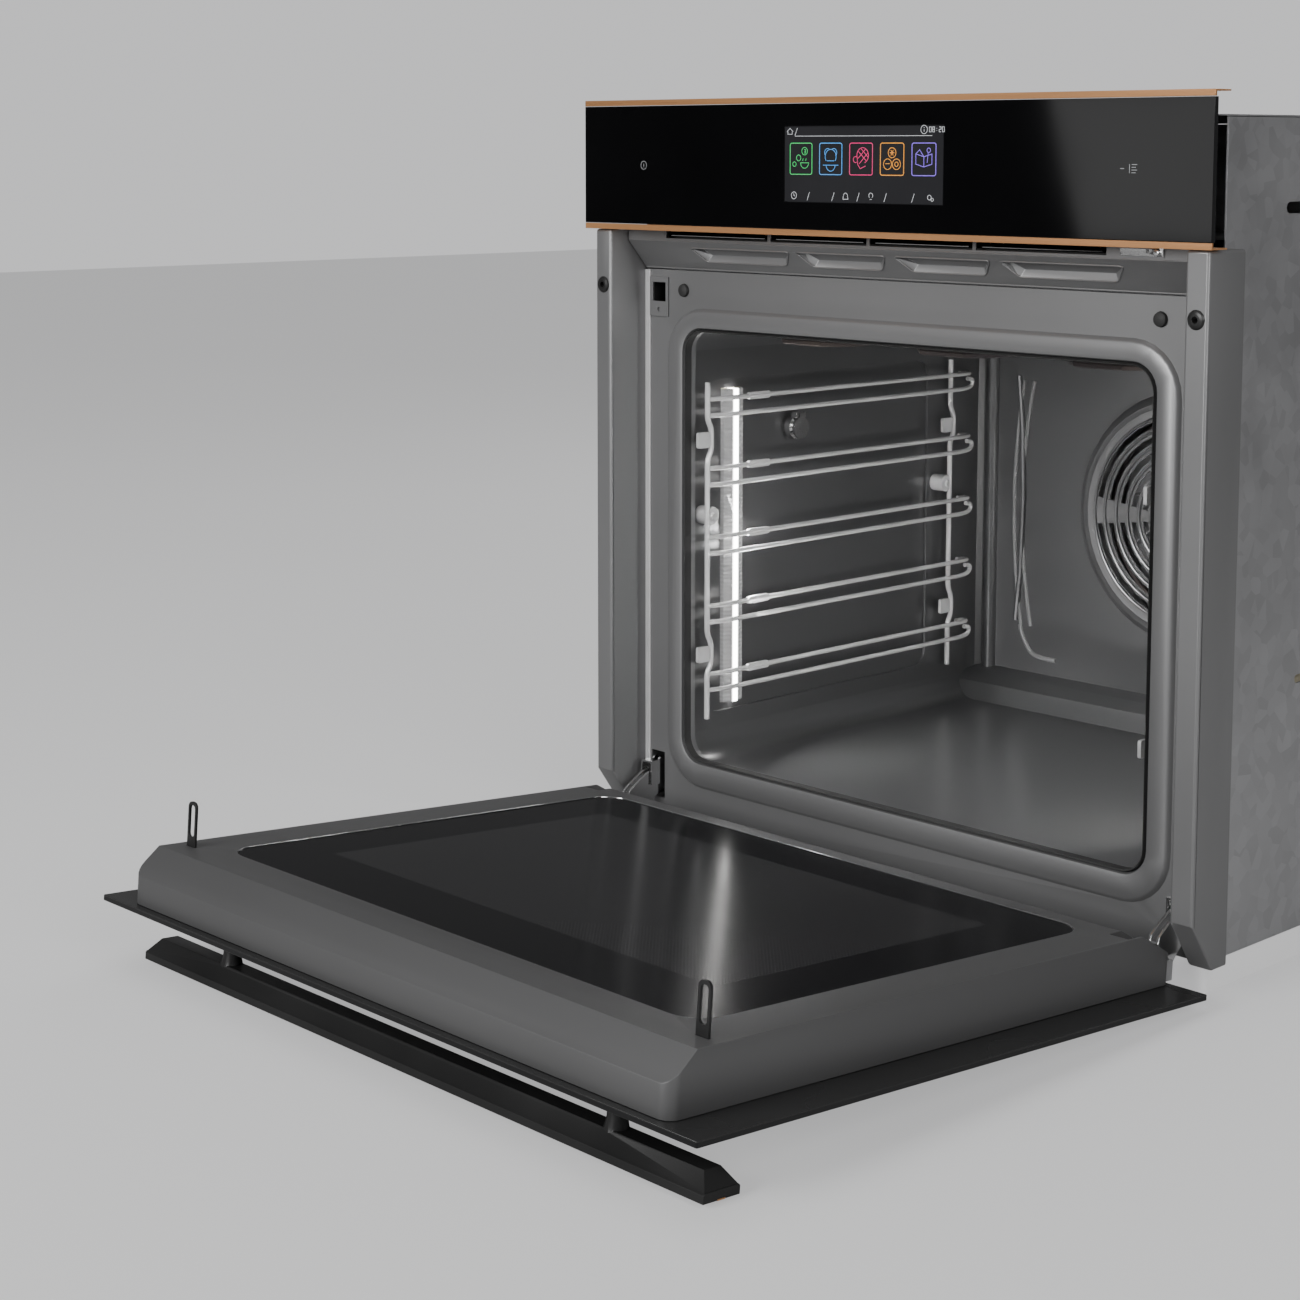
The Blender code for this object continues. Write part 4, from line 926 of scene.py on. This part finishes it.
def lines_mesh(lines, width):
    """Thin raised lines in the panel's face, from paths in millimetres across and up."""
    lift, thick = 0.05 * MM, 0.12 * MM
    skins = []
    for path in lines:
        p = np.asarray(path, float) * MM
        closed = len(p) > 3 and np.linalg.norm(p[0] - p[-1]) < 1e-7
        skins.append(stroke(p[:-1] if closed else p, width, FACE_Y - lift, thick, closed))
    return skins


# each tile: its place across, its colour, and the lines of its sign about its own middle
TILES = {
    "green": (-59.7, (0.05, 0.62, 0.16), [
        ring_line(3.6, 5.6, 2.8), ring_line(-2.4, 0.6, 2.2), ring_line(-6.6, -4.0, 1.7),
        [(-0.8, -3.0), (8.0, -3.0)], ring_line(3.6, -3.0, 4.0, 180, 360, 14),
        [(1.6, -1.6), (2.2, 0.2)], [(4.6, -1.6), (5.2, 0.2)]] + number("3", 3.2, 4.2, 2.6)),
    "blue": (-30.1, (0.08, 0.36, 0.85), [
        ring_line(0, 1.6, 5.4, -35, 215, 22), ring_line(-3.0, 4.6, 3.0, 60, 230, 10),
        ring_line(3.0, 4.6, 3.0, -50, 120, 10), [(-3.6, -1.4), (3.6, -1.4)],
        [(-7.5, -4.6), (7.5, -4.6)], ring_line(0, -4.6, 4.4, 180, 360, 14)]),
    "pink": (-0.5, (0.80, 0.05, 0.20), [
        ring_line(1.6, 2.6, 5.6, -70, 200, 20) + [(-3.0, -4.0), (-0.6, -7.0), (4.4, -5.0)],
        ring_line(-5.2, -0.4, 2.2, 20, 300, 12), [(-2.6, 5.6), (5.6, -1.8)],
        [(0.2, 7.4), (6.9, 1.2)], [(-2.6, 0.6), (4.6, 7.4)], [(-1.6, -3.4), (6.8, 4.6)]]),
    "orange": (29.1, (0.90, 0.36, 0.05), [
        ring_line(0, 4.6, 3.6), ring_line(-4.2, -3.6, 3.8), ring_line(4.2, -3.6, 3.8),
        [(-2.2, 4.6), (2.2, 4.6)], [(-1.1, 2.7), (1.1, 6.5)], [(1.1, 2.7), (-1.1, 6.5)],
        [(-6.2, -3.2), (-2.2, -3.2)], ring_line(4.2, -3.6, 1.6)]),
    "purple": (58.7, (0.27, 0.16, 0.85), [
        [(0, -5.4), (-7.4, -3.4), (-7.4, 3.8), (0, 1.8), (0, -5.4)],
        [(0, -5.4), (7.4, -3.4), (7.4, 3.8), (0, 1.8)], [(0, 1.8), (-4.0, 6.8), (-7.4, 3.8)],
        ring_line(4.4, 6.4, 1.6), [(4.0, 4.8), (3.0, -2.4)]]),
}
SCREEN_SIGNS = [[(-66.0, 563.0), (66.0, 563.0)], [(-63.5, 569.0), (-66.0, 563.5)],
         [(-74.0, 566.4), (-71.0, 568.8), (-68.0, 566.4)],
         [(-73.2, 566.6), (-73.2, 564.4), (-68.8, 564.4), (-68.8, 566.6)],
         ring_line(58.6, 567.3, 3.0), [(58.6, 565.8), (58.6, 567.6)], [(58.6, 568.4), (58.6, 569)],
         ring_line(-66.7, 519.1, 2.6), [(-66.7, 520.6), (-66.7, 519.1), (-65.5, 518.5)],
         ring_line(-15.2, 519.5, 2.0, 0, 180, 10) + [(-17.6, 517.0), (-12.8, 517.0), (-13.2, 519.5)],
         ring_line(9.3, 520.0, 1.9, -50, 230, 14), [(8.4, 517.2), (10.2, 517.2)],
         ring_line(64.2, 519.4, 1.7), ring_line(66.8, 517.9, 1.1)]
SCREEN_SIGNS += number("08:20", 63.4, 565.6, 3.5)
SCREEN_SIGNS += [[(x + 1.2, 521.8), (x - 1.2, 515.6)] for x in (-52.1, -27.5, -3.0, 23.0, 49.0)]
TOUCH_SIGNS = [ring_line(-229.5, 540.5, 3.2), [(-229.5, 539.0), (-229.5, 542.0)],
        [(226.6, 540.9), (229.8, 540.9)], [(234.0, 543.8), (234.0, 538.0)],
        [(235.6, 543.6), (240.0, 543.6)], [(235.6, 541.8), (239.0, 541.8)],
        [(235.6, 540.0), (240.0, 540.0)], [(235.6, 538.2), (239.0, 538.2)]]


def make_panel():
    """Control panel: glass, copper edges, and the screen with its five tiles and small signs,
    each a thin line of even width along a path."""
    smoothed("panel_glass", finish("glass"), 0.25)
    for node in ("panel_trim_top", "panel_trim_bottom"):
        smoothed(node, finish("copper"), 0.2)
    smoothed("panel_latch", finish("chrome"), 0.2)
    dress(finish("screen"), "touch_display")
    line = settings("sizes").line
    wide, high = 11.0, 11.5
    for name, (x, colour, icon) in TILES.items():
        edge = rounded(x - wide, x + wide, TILE_HEIGHT - high, TILE_HEIGHT + high, 1.6, 4).tolist()
        sign = [[(x + a, TILE_HEIGHT + b) for a, b in path] for path in icon]
        marks = lines_mesh([edge + edge[:1]], line * 1.15) + lines_mesh(sign, line * 0.9)
        piece("tile_" + name, marks, lit("Tile " + name, colour, 0.55), like="touch_display")
    white = tuple(settings("colours").mark)
    bright = lit("White print", white, 0.34)
    dim = lit("Dim print", tuple(c * 0.55 for c in white), 0.22)
    piece("screen_signs", lines_mesh(SCREEN_SIGNS, line * 0.62), bright, like="touch_display")
    piece("touch_signs", lines_mesh(TOUCH_SIGNS, line * 0.7), dim, like="panel_glass")


def make_casing():
    """Outer sheets and the parts behind the panel, each in its own finish."""
    for node in ("top_cover", "side_panel_left", "side_panel_right", "rear_cover", "base_pan"):
        smoothed(node, finish("zinc"), 0.3)
    smoothed("terminal_block", finish("moulding"), 0.3)
    smoothed("lock_hook", finish("chrome"), 0.2)
    dress(finish("zinc"), "panel_carrier", "fan_chamber", "convection_wheel", "convection_motor",
          "blower_deck", "blower_housing", "cooling_motor")
    dress(finish("wool"), "insulation_jacket")
    dress(finish("circuit"), "control_board")
    dress(finish("moulding"), "cooling_impeller", "lock_body")


# ------------------------------------------------------------------ studio
def area_light(name, place, aim, size, power, size_y=None):
    """A flat light turned to face a point, square or with its own second side."""
    data = bpy.data.lights.new(name, "AREA")
    data.energy, data.size = power, size
    if size_y:
        data.shape, data.size_y = "RECTANGLE", size_y
    obj = bpy.data.objects.new(name, data)
    obj.location = place
    obj.rotation_euler = (Vector(aim) - Vector(place)).to_track_quat("-Z", "Y").to_euler()
    bpy.context.scene.collection.objects.link(obj)
    return obj


def stage_mesh(name, verts, faces, coat):
    """A mesh of the studio, which is no part of the oven."""
    mesh = bpy.data.meshes.new(name)
    mesh.from_pydata(verts, [], faces)
    mesh.materials.append(coat)
    obj = bpy.data.objects.new(name, mesh)
    bpy.context.scene.collection.objects.link(obj)
    return obj


def reflector(name, corners, brightness):
    """A card seen only in glossy surfaces."""
    mat = bpy.data.materials.new(name)
    mat.use_nodes = True
    shader = mat.node_tree.nodes["Principled BSDF"]
    shader.inputs["Base Color"].default_value = (0, 0, 0, 1)
    shader.inputs["Roughness"].default_value = 1.0
    shader.inputs["Specular IOR Level"].default_value = 0.0
    shader.inputs["Emission Color"].default_value = (1, 1, 1, 1)
    shader.inputs["Emission Strength"].default_value = brightness
    card = stage_mesh(name, corners, [(0, 1, 2, 3)], mat)
    card.visible_camera = card.visible_diffuse = card.visible_shadow = False
    card.visible_transmission = card.visible_volume_scatter = False


def make_world():
    """Pale backdrop to the camera, dimmer as a light."""
    world = bpy.data.worlds.new("Studio")
    world.use_nodes = True
    tree = world.node_tree
    tone = seen_or_lit(tree, (0.17, 0.17, 0.172, 1), (0.74, 0.74, 0.75, 1))
    tree.links.new(tone, tree.nodes["Background"].inputs["Color"])
    bpy.context.scene.world = world


def make_ground():
    """Wide floor, and a low plinth that lifts the base clear of it."""
    paint = floor_paint()
    floor_z = CAD_BOX[0][2] - 0.001
    reach = 9
    corners = [(-reach, -reach, floor_z), (reach, -reach, floor_z), (reach, reach, floor_z),
               (-reach, reach, floor_z)]
    stage_mesh("floor", corners, [(0, 1, 2, 3)], paint)
    low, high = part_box("base_pan")
    outline = rounded(low.x, high.x, low.y, high.y, 0.004, 3)
    verts, faces = block(outline, floor_z, low.z - 0.0002, "Z")
    stage_mesh("plinth", verts.tolist(), faces, paint)


def make_lights():
    """Soft lights round the oven, the light thrown by the bars, and two cards for the gloss."""
    lights = settings("lights")
    area_light("key", (-0.2, -3.4, 1.3), (0, -0.3, 0.35), 1.4, lights.key)
    area_light("fill", (2.2, -1.2, 1.2), (0, -0.4, 0.3), 1.2, lights.fill)
    area_light("top", (0, -0.6, 2.6), (0, -0.3, 0.2), 2.0, lights.top)
    area_light("back", (-0.8, 2.4, 1.8), (0, 0, 0.3), 1.6, lights.fill)
    for sign in (-1, 1):
        place, aim = (sign * 0.222, from_face(BAR_DEPTH), 0.223), (-sign * 0.3, from_face(260.0), 0.34)
        bar = area_light("bar glow", place, aim, 0.012, lights.glow, 0.26)
        bar.visible_camera = bar.visible_glossy = False
    soft_y, dark_y = -2.3, -2.33
    reflector("soft card", [(-1.348, soft_y, 0.649), (-1.0, soft_y, 0.649), (-0.93, soft_y, 0.398),
                            (-1.274, soft_y, 0.398)], 1.15)
    reflector("dark card", [(-2.6, dark_y, 0.0), (-0.2, dark_y, 0.0), (-0.2, dark_y, 1.0),
                            (-2.6, dark_y, 1.0)], 0.0)


def make_camera():
    """A view from the front right, tilted a little down, with the lens shifted down as well."""
    data = bpy.data.cameras.new("camera")
    data.lens, data.sensor_width, data.shift_y = 67.44, 36.0, -0.17
    data.clip_start = 0.02
    tilt_down, turn_left = math.radians(6.622), math.radians(46.333)
    camera = bpy.data.objects.new("camera", data)
    camera.location = (1.1805, -1.6390, 0.5555)
    camera.rotation_euler = (math.pi / 2 - tilt_down, 0, turn_left)
    bpy.context.scene.collection.objects.link(camera)
    bpy.context.scene.camera = camera


def make_stage():
    """Floor, lights, backdrop and camera."""
    make_ground()
    make_lights()
    make_world()
    make_camera()


# ------------------------------------------------------------------ operators
class OVEN_OT_front(bpy.types.Operator):
    """Builds the front frame, columns, deflector and their small pieces"""

    bl_idname = "oven.front"
    bl_label = "Front frame"

    def execute(self, context):
        make_front()
        return {"FINISHED"}


class OVEN_OT_cavity(bpy.types.Operator):
    """Builds the enamelled cavity, the fan cover, the probe socket and the light bars"""

    bl_idname = "oven.cavity"
    bl_label = "Cavity"

    def execute(self, context):
        make_cavity()
        return {"FINISHED"}


class OVEN_OT_racks(bpy.types.Operator):
    """Builds the two side racks of bent wire"""

    bl_idname = "oven.racks"
    bl_label = "Side racks"

    def execute(self, context):
        make_racks()
        return {"FINISHED"}


class OVEN_OT_door(bpy.types.Operator):
    """Builds the door's shell, panes, handle, loops and hinges"""

    bl_idname = "oven.door"
    bl_label = "Door"

    def execute(self, context):
        make_door()
        return {"FINISHED"}


class OVEN_OT_panel(bpy.types.Operator):
    """Builds the control panel, its copper edges and the screen's signs"""

    bl_idname = "oven.panel"
    bl_label = "Control panel"

    def execute(self, context):
        make_panel()
        return {"FINISHED"}


class OVEN_OT_casing(bpy.types.Operator):
    """Gives the outer sheets and the inner parts their finishes"""

    bl_idname = "oven.casing"
    bl_label = "Casing"

    def execute(self, context):
        make_casing()
        return {"FINISHED"}


class OVEN_OT_stage(bpy.types.Operator):
    """Lays the floor, sets the lights and places the camera"""

    bl_idname = "oven.stage"
    bl_label = "Studio"

    def execute(self, context):
        make_stage()
        return {"FINISHED"}


OPERATORS = (OVEN_OT_front, OVEN_OT_cavity, OVEN_OT_racks, OVEN_OT_door, OVEN_OT_panel,
             OVEN_OT_casing, OVEN_OT_stage)
GROUPS = {"colours": OvenColours, "sizes": OvenSizes, "lights": OvenLights}


class OVEN_PT_sidebar(bpy.types.Panel):
    """Sizes and colours, and a button for each group of pieces"""

    bl_label = "Wall oven"
    bl_idname = "OVEN_PT_sidebar"
    bl_space_type = "VIEW_3D"
    bl_region_type = "UI"
    bl_category = "Oven"

    def draw(self, context):
        for name, group in GROUPS.items():
            column = self.layout.column(align=True)
            for prop in group.__annotations__:
                column.prop(getattr(context.scene, "oven_" + name), prop)
        for operator in OPERATORS:
            self.layout.operator(operator.bl_idname)


def register():
    for cls in (*GROUPS.values(), *OPERATORS, OVEN_PT_sidebar):
        bpy.utils.register_class(cls)
    for name, group in GROUPS.items():
        setattr(bpy.types.Scene, "oven_" + name, PointerProperty(type=group))


def unregister():
    for name in GROUPS:
        delattr(bpy.types.Scene, "oven_" + name)
    for cls in (OVEN_PT_sidebar, *OPERATORS[::-1], *GROUPS.values()):
        bpy.utils.unregister_class(cls)


def main():
    register()
    bpy.ops.oven.front()
    bpy.ops.oven.cavity()
    bpy.ops.oven.racks()
    bpy.ops.oven.door()
    bpy.ops.oven.panel()
    bpy.ops.oven.casing()
    bpy.ops.oven.stage()


if __name__ == "__main__":
    main()
